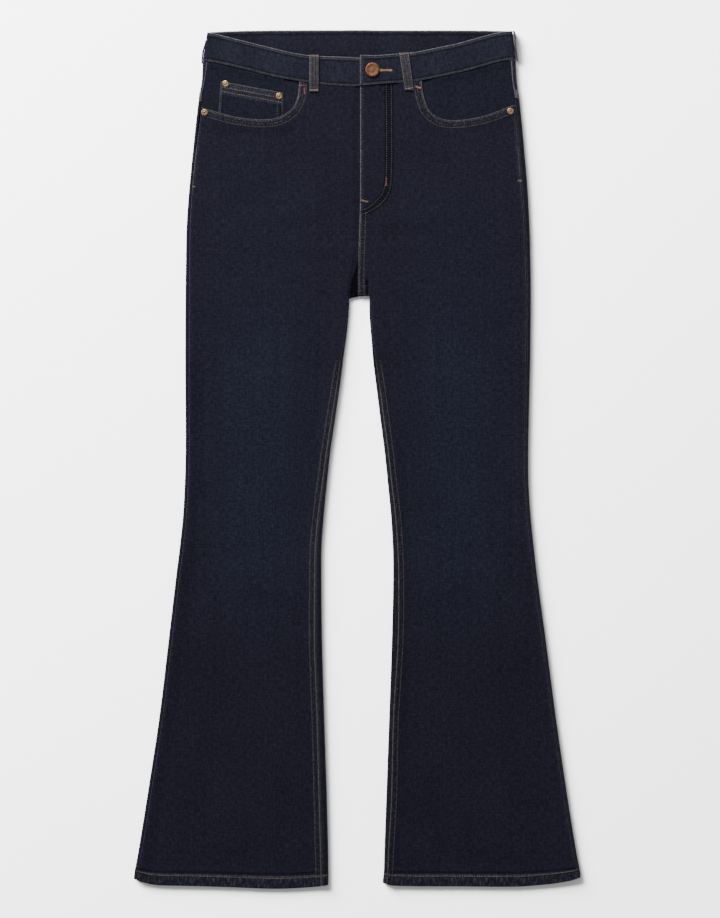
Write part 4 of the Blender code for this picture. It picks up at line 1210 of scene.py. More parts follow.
def band_cloth(side):
    """The fine points of a waistband half: front end, round the side, centre back."""
    quarter = BAND_ROUND * math.pi / 2
    shares = np.concatenate([
        [0, 0.008, 0.02, 0.035], np.linspace(0.055, 0.945, 24), [0.965, 0.98, 0.992, 1.0],
    ])
    ends = [0.0, 0.0015, 0.004, 0.007, 0.011]
    front_steps = np.concatenate([ends, np.linspace(0.016, 1, 110, endpoint=False)])
    fold = quarter - 2 * quarter * np.arange(BAND_FOLD_PARTS + 1) / BAND_FOLD_PARTS
    under_share = np.arange(BAND_FOLD_PARTS + 1) / BAND_FOLD_PARTS
    seam = SIGN[side] * CENTRE_BACK + SEAM_GAP / 10
    lines = []
    for share in shares:
        outer = BAND_SIDE_TOP[side] + (BAND_SIDE_FOOT[side] - BAND_SIDE_TOP[side]) * share
        front = BAND_END[side] + (outer - BAND_ROUND - BAND_END[side]) * front_steps
        inset, fold_up = around(fold, BAND_ROUND)
        start = outer - BAND_ROUND
        back = start + (seam - start) * (1 - (1 - np.linspace(0, 1, 91)[1:]) ** END_POWER)
        across = np.concatenate([front, outer - inset, back])
        part = np.concatenate([0 * front, under_share, 0 * back + 1])
        heights = []
        for tops, feet in ((BAND_TOPS, BAND_FEET), (BACK_BAND_TOPS, BACK_BAND_FEET)):
            top = edge_of(tops[side], across)
            heights.append(top + (edge_of(feet[side], across) - top) * share)
        height = heights[0] + (heights[1] - heights[0]) * part
        face = band_surface(side, front, height[:len(front)])
        turned = turned_edge(share * BAND_DEPTH, 1.1)
        turned = turned + turned_edge((1 - share) * BAND_DEPTH, 0.9)
        fold_up = fold_up + turned * (1 - 2 * under_share)
        ground = band_under(side, back, height[-len(back):])
        up = np.concatenate([face, fold_up, ground])
        lines.append(np.stack([across, height, up]))
    across, height, up = np.stack(lines, 1)
    cloth = Cloth(side, across, height, up)
    cloth.unroll(0)
    top = shares[:, None] * BAND_DEPTH + 0 * across
    foot = BAND_DEPTH - top
    along = cloth.flat[0]
    cloth.flat = (along, foot)
    end = across - BAND_END[side] if side == "left" else np.full_like(across, NO_EDGE)
    end = np.where(up > BAND_ROUND, end, NO_EDGE)
    cloth.seam(top, along, (BAND_ROW, NO_ROW), 0.95)
    cloth.seam(foot, along, (BAND_FOOT_ROW, NO_ROW), 0.40)
    cloth.seam(end, height, NO_ROWS, 1.0)
    cloth.fade = 0.5 + 0.5 * ripples(along, 60.0, 0.3)
    return cloth


def finer(line, count):
    """A line of points given as a table, with more points on it."""
    line = np.array(line, float)
    places = np.linspace(0, len(line) - 1, count)
    index = np.arange(len(line))
    return np.stack([np.interp(places, index, line[:, 0]), np.interp(places, index, line[:, 1])], 1)


def patch(side, top, foot, shares):
    """A patch of cloth between a top line and a foot line."""
    share = np.array(shares)[:, None]
    across = top[None, :, 0] + (foot - top)[None, :, 0] * share
    height = top[None, :, 1] + (foot - top)[None, :, 1] * share
    return Cloth(side, across, height)


def facing_cloth(side):
    """A pocket facing, one layer under the front."""
    scoop = np.stack(on_line(curve_line(SCOOPS[side]), np.linspace(0, 1, FACING_COLUMNS + 1)), 1)
    inner = scoop[-1][0] - FACING_INNER
    run = np.vstack([scoop[1] - scoop[0], scoop[2:] - scoop[:-2], scoop[-1] - scoop[-2]])
    length = np.hypot(run[:, 0], run[:, 1])
    aside = np.abs(run[:, 1]) / length
    below = np.abs(run[:, 0]) / length
    foot = scoop - np.stack([FACING_ASIDE * aside, FACING_BELOW * below], 1)
    seam = leg(side, "outer", foot[0][1]) - leg(side, "outseam", foot[0][1])
    foot[0][0] = seam - FACING_EDGE
    foot[-1] = [inner, foot[-1][1] - FACING_CORNER]
    outer = leg(side, "outer", SEAM_TOP) - leg(side, "outseam", SEAM_TOP) - FACING_EDGE
    across = np.linspace(outer, inner, FACING_COLUMNS + 1)
    top = np.stack([across, edge_of(BAND_FEET[side], across) - SEAM_GAP], 1)
    cloth = patch(side, finer(top, 57), finer(foot, 57), np.linspace(0, 1, 32))
    across = cloth.across
    height = cloth.height
    soft = 0.12 * ripples(across + 0.4 * height, 37.0, 0.6) + 0.08 * ripples(height, 19.0, 1.0)
    below = edge_of(BAND_FEET[side], across) - SEAM_GAP - height
    soft = soft + FACING_LIFT * (1 - smooth(below / 12)) * smooth((across - 88) / 10)
    cloth.up = face_height(side, across, height) - LAYER + soft
    cloth.fade = 0.03 + 0.03 * ripples(across, 70.0, 1.2)
    cloth.seam(across[:, :1] - across, height, NO_ROWS, 0.2)
    return cloth


def coin_edges(across, height):
    """Distances of a place on the small pocket from its top edge and its nearer side."""
    share = (across - COIN_RIGHT) / (COIN_LEFT - COIN_RIGHT)
    top = COIN_TOP_RIGHT + (COIN_TOP_LEFT - COIN_TOP_RIGHT) * share - height
    spread = COIN_TAPER * top / (COIN_TOP_LEFT - COIN_FOOT)
    return top, np.minimum(across - COIN_RIGHT, COIN_LEFT + spread - across)


def coin_surface(side, across, height):
    """Height of the small pocket's upper face."""
    top, aside = coin_edges(across, height)
    hem = 1 - smooth((top - COIN_HEM) / 1.2)
    relief = 0.35 * hem + turned_edge(top, 0.9) + turned_edge(aside, 0.9)
    for row in COIN_HEM_ROWS:
        relief = relief - 0.24 * groove(top, row)
    relief = relief - 0.24 * groove(aside, COIN_SIDE_ROW)
    relief = relief + 0.16 * hem * ripples(across, 7.0, 0.4)
    relief = relief + 0.10 * ripples(height, 6.5, 0.4) * bell(aside, 0, 4)
    return face_height(side, across, height) + relief


def coin_cloth():
    """The small pocket: its top edge shows, its foot runs under the pocket opening."""
    across = np.linspace(COIN_LEFT, COIN_RIGHT, 9)
    share = np.linspace(0, 1, 9)
    top = np.stack([across, COIN_TOP_LEFT + (COIN_TOP_RIGHT - COIN_TOP_LEFT) * share], 1)
    foot = np.stack([across + COIN_TAPER * (1 - share), COIN_FOOT + COIN_TILT * (1 - share)], 1)
    shares = np.concatenate([[0, 0.006, 0.014, 0.025], np.linspace(0.04, 1, 34)])
    cloth = patch("right", finer(top, 65), finer(foot, 65), shares)
    cloth.up = coin_surface("right", cloth.across, cloth.height)
    top, aside = coin_edges(cloth.across, cloth.height)
    cloth.seam(top, cloth.across, COIN_HEM_ROWS, 0.62)
    cloth.seam(aside, cloth.height, (COIN_SIDE_ROW, NO_ROW), 0.45)
    hem = 0.14 + 0.36 * smooth((top - 5.0) / 1.8)
    cloth.fade = hem * (1 - smooth((top - COIN_HEM + 0.6) / 1.4))
    return cloth


def back_pocket_outline():
    """The back pocket's outline: its top corners, its foot corners and its point."""
    half = BACK_POCKET_WIDTH / 2
    foot_half = half - BACK_POCKET_FLARE
    centre = BACK_POCKET_CENTRE
    top = BACK_POCKET_TOP
    return (
        [(centre + half, top), (centre, top), (centre - half, top)],
        [(centre + foot_half, BACK_POCKET_CORNER), (centre, BACK_POCKET_POINT),
         (centre - foot_half, BACK_POCKET_CORNER)],
    )


def pocket_edges(across, height):
    """Distances of a place on the back pocket from its top edge and from its sewn edges."""
    top, foot = back_pocket_outline()
    sewn = [top[0]] + foot + [top[2]]
    distance, along = from_line(finer(sewn, 400), across, height)
    return BACK_POCKET_TOP - height, distance, along


def pocket_surface(side, across, height):
    """Height of the back pocket's outer face, which lies on the ground."""
    top, sewn, along = pocket_edges(across, height)
    lift = -turned_edge(top, 0.6) - turned_edge(sewn, 0.6)
    lift = lift + 0.3 * sum(groove(sewn, row) for row in POCKET_ROWS)
    lift = lift + 0.3 * sum(groove(top, row) for row in POCKET_HEM_ROWS)
    return lift + 0.06 * (1 + ripples(along, 8.0, 0.4)) * bell(sewn, 5, 4)


def back_pocket_cloth(side):
    """A back pocket."""
    top, foot = back_pocket_outline()
    shares = np.concatenate([[0, 0.004, 0.01], np.linspace(0.02, 0.98, 48), [0.99, 0.996, 1.0]])
    cloth = patch(side, finer(top, 61), finer(foot, 61), shares)
    cloth.up = pocket_surface(side, cloth.across, cloth.height)
    top, sewn, along = pocket_edges(cloth.across, cloth.height)
    cloth.seam(top, cloth.across, POCKET_HEM_ROWS, 0.6)
    cloth.seam(sewn, along, POCKET_ROWS, 0.7)
    cloth.fade = 0.5 * bell(cloth.across, BACK_POCKET_CENTRE, 45)
    return cloth


def loop_place(side, aside, share):
    """A place on a front loop, from shares across and down it."""
    top = FRONT_LOOP_TOPS[side]
    foot = FRONT_LOOP_FEET[side]
    start = top[0] + (top[1] - top[0]) * aside
    end = foot[0] + (foot[1] - foot[0]) * aside
    return start + (end - start) * share, top[2] + (foot[2] - top[2]) * share


def loop_edge(aside):
    """Distance from a loop's nearer edge, at a share of its width."""
    return (0.5 - np.abs(aside - 0.5)) * LOOP_WIDTH


def loop_height(side, aside, share):
    """Height of a front loop's upper face at a place on it."""
    across, height = loop_place(side, aside, share)
    band_foot = edge_of(BAND_FEET[side], across)
    beyond = smooth((band_foot - LOOP_STEP_FROM - height) / LOOP_STEP)
    under = band_face(side, across)
    under = under + (front_face(side, across, height) - under) * beyond
    bow = LOOP_BOW * np.sin(math.pi * np.minimum(share / LOOP_BOW_SHARE, 1.0))
    edge = loop_edge(aside)
    relief = turned_edge(edge, 1.0) - 0.12 * groove(edge, LOOP_ROW, 0.7)
    relief = relief + 0.17 * ripples(height, 3.0, 0.2)
    ends = np.minimum(share, 1 - share) * 48
    relief = relief + turned_edge(ends, 1.0) - 0.3 * groove(ends, 2.6, 1.6)
    return under + SEAM_GAP + bow + LOOP_CLOTH + relief


def loop_cloth(side):
    """A front belt loop, bowed over the waistband and sewn down at its two ends."""
    share = np.concatenate([[0, 0.004, 0.012], np.linspace(0.025, 0.975, 60), [0.988, 0.996, 1.0]])
    aside, share = np.meshgrid(LOOP_COLUMNS, share)
    across, height = loop_place(side, aside, share)
    cloth = Cloth(side, across, height, loop_height(side, aside, share))
    length = FRONT_LOOP_TOPS[side][2] - FRONT_LOOP_FEET[side][2]
    cloth.flat = (aside * LOOP_WIDTH, -share * length)
    mark_loop(cloth, loop_edge(aside), height)
    return cloth


def mark_loop(cloth, edge, along):
    """Note a belt loop's edges and rows."""
    cloth.seam(edge, along, (LOOP_ROW, NO_ROW), 0.75)
    cloth.fade = 1 - smooth(np.abs(edge - 5.8) / 4)


def side_loop_cloth(side):
    """A side belt loop seen on edge: a strip that stands beside the folded waistband."""
    line = curve_line(SIDE_LOOPS[side])
    shares = np.linspace(0, 1, 40)
    across, height = on_line(line, shares)
    ends = SIDE_LOOP_END_SHARE + (1 - SIDE_LOOP_END_SHARE) * np.sin(math.pi * shares)
    rise = SIDE_LOOP_RISE[side] * ends
    up = 0.3 + (rise - 0.3) * np.linspace(0, 1, 12)[:, None]
    cloth = Cloth(side, across + 0 * up, height + 0 * up, up)
    mark_loop(cloth, np.minimum(up, rise - up), height + 0 * up)
    reach = reach_along(across, height)
    cloth.flat = (cloth.up, reach + 0 * up)
    return cloth


def back_loop_cloth():
    """The loop at the centre back, under the waistband."""
    height = np.linspace(BACK_LOOP_TOP, BACK_LOOP_FOOT, 50)
    aside, height = np.meshgrid(LOOP_COLUMNS, height)
    edge = loop_edge(aside)
    across = CENTRE_BACK + (aside - 0.5) * LOOP_WIDTH
    up = 0.25 * groove(edge, LOOP_ROW, 0.7) - turned_edge(edge, 0.6)
    cloth = Cloth("left", across, height, up + 0.04 * (1 + ripples(height, 4.6, 0.2)))
    mark_loop(cloth, edge, height)
    return cloth


# Meshes of cloth


def made_mesh(name, shape, *finishes):
    """The mesh of a shape that is complete, with its finishes."""
    mesh = bpy.data.meshes.new(name)
    shape.to_mesh(mesh)
    shape.free()
    for finish in finishes:
        mesh.materials.append(finish)
    return mesh


def placed(name, data):
    """An object of a mesh, a light or a camera, in the scene."""
    made = bpy.data.objects.new(name, data)
    bpy.context.scene.collection.objects.link(made)
    return made


def shell(name, cloth, thickness, finishes, faces_up=True, reference=None, hem=False, offset=-1):
    """A wall of cloth through a grid of points, with its finish's fields."""
    rows, columns = cloth.across.shape
    shape = bmesh.new()
    bmesh.ops.create_grid(shape, x_segments=columns - 1, y_segments=rows - 1, size=0.5)
    mesh = made_mesh(name, shape, *finishes)
    plan = np.empty(len(mesh.vertices) * 3)
    mesh.vertices.foreach_get("co", plan)
    plan = plan.reshape(-1, 3)
    column = np.rint((plan[:, 0] + 0.5) * (columns - 1)).astype(int)
    row = np.rint((0.5 - plan[:, 1]) * (rows - 1)).astype(int)
    points = np.stack([
        SIGN[cloth.side] * cloth.across, cloth.height - LENGTH / 2, cloth.up,
    ], 2) * MM
    mesh.vertices.foreach_set("co", points[row, column].ravel())
    middle, start = reference or (rows // 2, columns // 2)
    down = points[middle + 1, start] - points[middle, start]
    right = points[middle, start + 1] - points[middle, start]
    if (np.cross(down, right)[2] > 0) != faces_up:
        mesh.flip_normals()
    mesh.update()
    corner = np.empty(len(mesh.loops), int)
    mesh.loops.foreach_get("vertex_index", corner)
    spread = np.stack([field[row, column][corner] for field in cloth.flat], 1) * MM
    mesh.uv_layers.new(name="Cloth").data.foreach_set("uv", spread.ravel())
    for field, parts in (
        ("seam", (cloth.edge, cloth.one, cloth.two)),
        # The fade, whose values below zero are painted shade.
        ("place", (cloth.along, cloth.fade, cloth.hem)),
    ):
        values = np.stack([part[row, column] for part in parts], 1)
        layer = mesh.attributes.new(field, "FLOAT_VECTOR", "POINT")
        layer.data.foreach_set("vector", values.ravel())
    worn = cloth.worn[row, column]
    mesh.attributes.new("worn", "FLOAT", "POINT").data.foreach_set("value", worn)
    mesh.shade_smooth()
    piece = placed(name, mesh)
    wall = piece.modifiers.new("Cloth thickness", "SOLIDIFY")
    wall.thickness = thickness * MM
    wall.offset = offset
    if len(finishes) > 1:
        wall.material_offset = 1
    if hem:
        thicken_hem(piece, wall, cloth.hem[row, column])
    keep_cut(piece, cloth)
    return piece


def thicken_hem(piece, wall, hem):
    """Double the wall's thickness in the hem."""
    group = piece.vertex_groups.new(name="Hem")
    low = -1.0
    for margin, weight in HEM_STEPS:
        reach = HEM_DEPTH + margin
        inside = np.nonzero((hem < reach) & (hem >= low))[0]
        group.add([int(index) for index in inside], weight, "REPLACE")
        low = reach
    wall.vertex_group = "Hem"
    wall.thickness_vertex_group = CLOTH / HEM_CLOTH


def keep_cut(piece, cloth):
    """Keep the width, length and area of the cut that a piece of cloth comes from."""
    u, v = cloth.flat
    first = (u[1:, 1:] - u[:-1, :-1]) * (v[1:, :-1] - v[:-1, 1:])
    second = (v[1:, 1:] - v[:-1, :-1]) * (u[1:, :-1] - u[:-1, 1:])
    piece["cut_width"] = float(u.max() - u.min()) * MM
    piece["cut_length"] = float(v.max() - v.min()) * MM
    piece["cut_area"] = float(np.abs(first - second).sum()) / 2 * MM * MM


def lay(piece, nodes=()):
    """Ride a piece on the body, and hide the solids that it stands for."""
    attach(piece, "root")
    if nodes:
        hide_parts(*nodes)


# Finishes


class Finish:
    """A material's node tree, with short calls for the nodes that the finishes use."""

    def __init__(self, name):
        self.material = bpy.data.materials.new(name)
        self.material.use_nodes = True
        self.tree = self.material.node_tree
        self.shader = self.tree.nodes["Principled BSDF"]

    def finished(self, settings):
        """The material, with its shader's inputs set."""
        for name, value in settings.items():
            self.put(self.shader.inputs[name], value)
        return self.material

    def node(self, kind, **settings):
        made = self.tree.nodes.new(kind)
        for key, value in settings.items():
            setattr(made, key, value)
        return made

    def put(self, target, value):
        if isinstance(value, bpy.types.NodeSocket):
            self.tree.links.new(value, target)
        elif isinstance(value, tuple):
            target.default_value = (*value[:3], 1.0)
        else:
            target.default_value = value

    def math(self, operation, *values):
        made = self.node("ShaderNodeMath", operation=operation)
        for socket, value in zip(made.inputs, values):
            self.put(socket, value)
        return made.outputs[0]

    def over(self, operation, values):
        return reduce(lambda first, second: self.math(operation, first, second), values)

    def times(self, *values):
        return self.over("MULTIPLY", values)

    def most(self, *values):
        return self.over("MAXIMUM", values)

    def least(self, *values):
        return self.over("MINIMUM", values)

    def away(self, first, second):
        return self.math("ABSOLUTE", self.math("SUBTRACT", first, second))

    def fields(self, name):
        found = self.node("ShaderNodeAttribute", attribute_name=name)
        made = self.node("ShaderNodeSeparateXYZ")
        self.put(made.inputs[0], found.outputs["Vector"])
        return made.outputs

    def vector(self, *values):
        made = self.node("ShaderNodeCombineXYZ")
        for socket, value in zip(made.inputs, values):
            self.put(socket, value)
        return made.outputs[0]

    def flat(self):
        return self.node("ShaderNodeUVMap", uv_map="Cloth").outputs[0]

    def own(self):
        return self.node("ShaderNodeTexCoord").outputs["Object"]

    def scaled(self, vector, scale, turn=0.0):
        made = self.node("ShaderNodeMapping")
        self.put(made.inputs["Vector"], vector)
        made.inputs["Scale"].default_value = scale
        made.inputs["Rotation"].default_value = (0.0, 0.0, turn)
        return made.outputs[0]

    def noise(self, vector, scale, detail=2.0, rough=0.5):
        made = self.node("ShaderNodeTexNoise")
        self.put(made.inputs["Vector"], vector)
        made.inputs["Scale"].default_value = scale
        made.inputs["Detail"].default_value = detail
        made.inputs["Roughness"].default_value = rough
        return made.outputs["Fac"]

    def wave(self, vector, scale, distortion=0.0):
        made = self.node("ShaderNodeTexWave", wave_type="BANDS", bands_direction="X")
        self.put(made.inputs["Vector"], vector)
        made.inputs["Scale"].default_value = scale
        made.inputs["Distortion"].default_value = distortion
        return made.outputs["Fac"]

    def ramp(self, value, low, high, start=0.0, end=1.0):
        made = self.node("ShaderNodeMapRange", interpolation_type="SMOOTHSTEP")
        levels = (value, low, high, start, end)
        for socket, level in zip(made.inputs, levels):
            self.put(socket, level)
        return made.outputs["Result"]

    def mix(self, share, first, second, blend="MIX"):
        made = self.node("ShaderNodeMix", data_type="RGBA", blend_type=blend)
        self.put(made.inputs[0], share)
        self.put(made.inputs[6], first)
        self.put(made.inputs[7], second)
        return made.outputs[2]

    def toned(self, colour, tone):
        grey = self.node("ShaderNodeCombineColor")
        for socket in grey.inputs:
            self.put(socket, tone)
        return self.mix(1.0, colour, grey.outputs[0], "MULTIPLY")

    def bump(self, height, strength, distance, under=None):
        made = self.node("ShaderNodeBump")
        made.inputs["Strength"].default_value = strength
        made.inputs["Distance"].default_value = distance
        self.put(made.inputs["Height"], height)
        if under is not None:
            self.put(made.inputs["Normal"], under)
        return made.outputs[0]


def denim(name, tones):
    """Dark washed denim: twill, slubs, mottling, worn edges, ropey seams, a soft fade, and painted
    shade in grooves and the crotch valley.
    """
    finish = Finish(name)
    flat = finish.flat()
    edge, one, two = finish.fields("seam")
    # The fade; below zero it is the painted shade of the crotch valley.
    along, faded, hem = finish.fields("place")
    worn = finish.node("ShaderNodeAttribute", attribute_name="worn").outputs["Fac"]
    twill = finish.wave(finish.scaled(flat, (1.0, 1.0, 1.0), math.radians(62)), 262.0, 0.4)
    grain = finish.noise(flat, 700.0, 2.0, 0.6)
    slub = finish.noise(finish.scaled(flat, (520.0, 130.0, 1.0)), 1.0, 2.0, 0.6)
    weft = finish.noise(finish.scaled(flat, (130.0, 480.0, 1.0)), 1.0, 1.0, 0.5)
    streak = finish.noise(finish.scaled(flat, (150.0, 4.0, 1.0)), 1.0, 2.0, 0.55)
    mottle = finish.noise(flat, 260.0, 2.0, 0.6)
    cloud = finish.noise(flat, 13.0, 3.0, 0.55)
    # Random tone, darkened by painted shade where the fade is below zero.
    tone = finish.times(
        finish.ramp(slub, 0.3, 0.7, 0.80, 1.22), finish.ramp(mottle, 0.3, 0.7, 0.87, 1.14),
        finish.ramp(weft, 0.3, 0.7, 0.87, 1.15), finish.ramp(streak, 0.3, 0.7, 0.96, 1.05),
        finish.ramp(cloud, 0.3, 0.7, 0.94, 1.07), finish.ramp(twill, 0.0, 1.0, 0.9, 1.1),
        finish.ramp(grain, 0.3, 0.7, 0.84, 1.18), finish.ramp(faded, -1.0, 0.0, 0.2, 1.0),
    )
    beside = finish.vector(along, finish.math("MULTIPLY", edge, 0.8), 0.0)
    ropes = finish.noise(beside, 0.52, 2.0, 0.65)
    fray = finish.noise(beside, 1.5, 2.0, 0.6)
    doubled = finish.times(
        finish.ramp(finish.math("SUBTRACT", edge, two), -0.5, 1.6, 1.0, 0.0),
        finish.ramp(two, 20.0, 60.0, 1.0, 0.0),
    )
    reach = finish.math("ADD", edge, finish.ramp(fray, 0.3, 0.7, 0.5, -0.5))
    rim = finish.times(
        finish.ramp(reach, 0.4, 1.6, 1.0, 0.0), worn, finish.ramp(ropes, 0.3, 0.6, 0.6, 1.0)
    )
    single = finish.times(finish.ramp(edge, 2.0, 6.0, 1.0, 0.0), worn, 0.8)
    ropey = finish.times(finish.most(doubled, single), finish.ramp(ropes, 0.44, 0.68, 0.03, 0.32))
    rope = finish.noise(finish.scaled(flat, (430.0, 120.0, 1.0), 0.5), 1.0, 2.0, 0.55)
    hem_band = finish.times(
        finish.ramp(hem, 12.0, 13.5, 0.25, 0.0), finish.ramp(rope, 0.46, 0.7, 0.0, 1.0)
    )
    hem_ridge = finish.times(
        finish.ramp(finish.away(hem, HEM_ROW + 2.0), 0.3, 1.5, 0.3, 0.0),
        finish.ramp(rope, 0.35, 0.6, 0.3, 1.0),
    )
    wear = finish.most(rim, ropey, hem_band, hem_ridge)
    # Painted shade: darker lines beside the stitch rows and in the valley above the hem, where
    # shade falls in the grooves.
    beyond = finish.math("ADD", one, 1.8)
    before = finish.math("SUBTRACT", two, 2.4)
    hem_valley = finish.math("MULTIPLY", finish.away(hem, HEM_ROW + 6.0), 0.6)
    painted_groove_shade = finish.ramp(
        finish.least(finish.away(edge, beyond), finish.away(edge, before), hem_valley),
        0.3, 1.6, 1.0, 0.0,
    )
    tone = finish.times(tone, finish.math("SUBTRACT", 1.0, finish.times(painted_groove_shade, 0.42)))
    base = finish.mix(faded, tones.base, tones.faded)
    colour = finish.toned(finish.mix(wear, base, tones.worn), tone)
    low = finish.bump(twill, 0.2, 0.0002)
    low = finish.bump(grain, 0.3, 0.0003, low)
    low = finish.bump(finish.math("ADD", slub, weft), 0.4, 0.0003, low)
    low = finish.bump(finish.times(finish.most(doubled, single), ropes), 0.8, 0.0008, low)
    return finish.finished({
        "Base Color": colour, "Normal": low, "Roughness": 0.92, "Specular IOR Level": 0.05,
        "Sheen Weight": 0.01, "Sheen Roughness": 0.6, "Sheen Tint": (0.6, 0.65, 0.85),
    })


def thread(name, colour, dark):
    """Twisted sewing thread, slightly uneven in colour."""
    finish = Finish(name)
    place = finish.own()
    twist = finish.wave(finish.scaled(place, (1.0, 1.0, 0.4), 0.9), 400.0, 1.0)
    patch_tone = finish.noise(place, 220.0, 2.0)
    share = finish.times(
        finish.ramp(patch_tone, 0.35, 0.65, 0.15, 1.0), finish.ramp(twist, 0.0, 0.6, 0.55, 1.0)
    )
    return finish.finished({
        "Base Color": finish.mix(share, dark, colour), "Normal": finish.bump(twist, 0.4, 0.0002),
        "Roughness": 0.6, "Specular IOR Level": 0.3, "Sheen Weight": 0.15,
    })


def copper(name, colour, dark, rough):
    """Antiqued copper: bright highs over darker, rougher lows."""
    finish = Finish(name)
    place = finish.own()
    stain = finish.noise(place, 700.0, 4.0, 0.65)
    speck = finish.noise(place, 2600.0, 2.0, 0.6)
    share = finish.ramp(stain, 0.38, 0.62, 0.0, 1.0)
    return finish.finished({
        "Base Color": finish.mix(share, dark, colour),
        "Roughness": finish.ramp(stain, 0.3, 0.7, rough + 0.18, rough),
        "Normal": finish.bump(speck, 0.25, 0.0001, finish.bump(stain, 0.25, 0.0002)),
        "Metallic": 1.0,
    })


def woven_tape(name, colour, dark):
    """The zip's ribbed woven tape."""
    finish = Finish(name)
    rib = finish.wave(finish.own(), 300.0, 0.3)
    speck = finish.noise(finish.own(), 900.0, 2.0)
    share = finish.times(rib, finish.ramp(speck, 0.3, 0.7, 0.6, 1.0))
    return finish.finished({
        "Base Color": finish.mix(share, dark, colour), "Normal": finish.bump(rib, 0.5, 0.0002),
        "Roughness": 0.85,
    })


def make_finishes():
    """Every material of the jeans."""
    cloths = {
        "front": Tones((0.0124, 0.0118, 0.0210), (0.130, 0.126, 0.142), (0.0147, 0.0159, 0.0288)),
        "back": Tones((0.0110, 0.0102, 0.0172), (0.115, 0.111, 0.126), (0.0142, 0.0146, 0.0255)),
        "band": Tones((0.0134, 0.0132, 0.0230), (0.112, 0.109, 0.121), (0.0169, 0.0174, 0.0286)),
        "inside": Tones((0.0125, 0.0119, 0.0206), (0.115, 0.106, 0.104), (0.0145, 0.0143, 0.0242)),
        "pocket": Tones((0.0110, 0.0111, 0.0202), (0.110, 0.106, 0.118), (0.0350, 0.0340, 0.0450)),
        "loop": Tones((0.0300, 0.0275, 0.0330), (0.110, 0.102, 0.112), (0.0540, 0.0500, 0.0570)),
    }
    threads = {
        "bronze": ((0.100, 0.076, 0.070), (0.036, 0.028, 0.031)),
        "amber": ((0.150, 0.105, 0.078), (0.040, 0.032, 0.032)),
        "umber": ((0.054, 0.040, 0.038), (0.013, 0.010, 0.012)),
        "sand": ((0.150, 0.122, 0.120), (0.060, 0.048, 0.050)),
        "clay": ((0.105, 0.082, 0.081), (0.036, 0.029, 0.033)),
        "tan": ((0.240, 0.165, 0.125), (0.095, 0.068, 0.060)),
        "orange": ((0.460, 0.240, 0.130), (0.210, 0.095, 0.055)),
        "rose": ((0.240, 0.085, 0.070), (0.100, 0.038, 0.036)),
    }
    metals = {
        "button": ((0.262, 0.130, 0.074), (0.125, 0.056, 0.031), 0.52),
        "rivet": ((0.580, 0.390, 0.220), (0.150, 0.085, 0.048), 0.30),
        "stud": ((0.340, 0.175, 0.095), (0.120, 0.056, 0.033), 0.36),
    }
    finishes = {name: denim(f"denim_{name}", tones) for name, tones in cloths.items()}
    finishes.update({name: thread(f"thread_{name}", *tones) for name, tones in threads.items()})
    finishes.update({name: copper(f"copper_{name}", *tones) for name, tones in metals.items()})
    finishes["tape"] = woven_tape("zip_tape", (0.030, 0.030, 0.042), (0.010, 0.010, 0.016))
    return finishes


# Sewing


class Bench:
    """Stitches gathered row by row, to be made into one mesh."""

    def __init__(self):
        self.rows = []

    def make(self, name, finish):
        """One mesh of all the stitches."""
        whole = bmesh.new()
        for starts, ends, normals, width in self.rows:
            for first in range(0, len(starts), STITCH_BATCH):
                batch = slice(first, first + STITCH_BATCH)
                run = bmesh.new()
                for start, end, normal in zip(starts[batch], ends[batch], normals[batch]):
                    stitch(run, Vector(start) * MM, Vector(end) * MM, Vector(normal), width * MM)
                part = made_mesh("run", run)
                whole.from_mesh(part)
                bpy.data.meshes.remove(part)
        mesh = made_mesh(name, whole, finish)
        mesh.shade_smooth()
        lay(placed(name, mesh))


def stitch(shape, start, end, normal, width):
    """One stitch: a slim rounded form from hole to hole."""
    run = end - start
    forward = run.normalized()
    aside = normal.cross(forward).normalized()
    rise = forward.cross(aside)
    turn = Matrix((aside, rise, forward)).transposed().to_4x4()
    size = Matrix.Diagonal((width / 2, width * 0.42, run.length / 2, 1.0))
    place = Matrix.Translation((start + end) / 2) @ turn @ size
    bmesh.ops.create_uvsphere(shape, u_segments=6, v_segments=5, radius=1.0, matrix=place)


def world_points(side, across, height, up):
    """Points in the garment's frame, in millimetres."""
    return np.stack([SIGN[side] * across, height - LENGTH / 2, up + 0.0 * across], 1)


def sew(bench, side, line, surface, pitch=PITCH, width=THREAD, lift=STITCH_LIFT):
    """A row of stitches along a line of places on a surface."""
    across, height = np.asarray(line, float).T
    reach = reach_along(across, height)
    count = max(int(reach[-1] / pitch), 1)
    step = reach[-1] / count
    begin = (np.arange(count) + (1 - STITCH_SHARE) / 2) * step
    spots = [
        (np.interp(place, reach, across), np.interp(place, reach, height))
        for place in (begin, begin + STITCH_SHARE * step)
    ]
    points = [world_points(side, *spot, surface(side, *spot) + lift) for spot in spots]
    middle = np.mean(spots, axis=0)
    right, left, up, down = [
        surface(side, middle[0] + PROBE * aside, middle[1] + PROBE * ahead)
        for aside, ahead in ((1, 0), (-1, 0), (0, 1), (0, -1))
    ]
    normals = np.stack([
        -SIGN[side] * (right - left) / (2 * PROBE), -(up - down) / (2 * PROBE), np.ones(count),
    ], 1)
    bench.rows.append((*points, normals, width))


def bartack(bench, side, place, surface, length, turn, width=2.0, thick=0.62, lift=0.3):
    """A bar of tight stitches laid across its own line."""
    angle = math.radians(turn)
    count = max(int(length / (thick * 0.8)), 2)
    reach = np.linspace(-length / 2, length / 2, count)
    points = []
    for end in (-1, 1):
        run = reach + 0.25 * end
        aside = end * width / 2
        across = place[0] + run * math.cos(angle) - aside * math.sin(angle)
        height = place[1] + run * math.sin(angle) + aside * math.cos(angle)
        points.append(world_points(side, across, height, surface(side, across, height) + lift))
    bench.rows.append((*points, np.tile([0.0, 0.0, 1.0], (count, 1)), thick))


def beside_edge(table, side, low, high, inset):
    """A line a distance below or above an edge that a table gives."""
    across = np.linspace(low, high, 80)
    return np.stack([across, edge_of(table[side], across) + inset], 1)


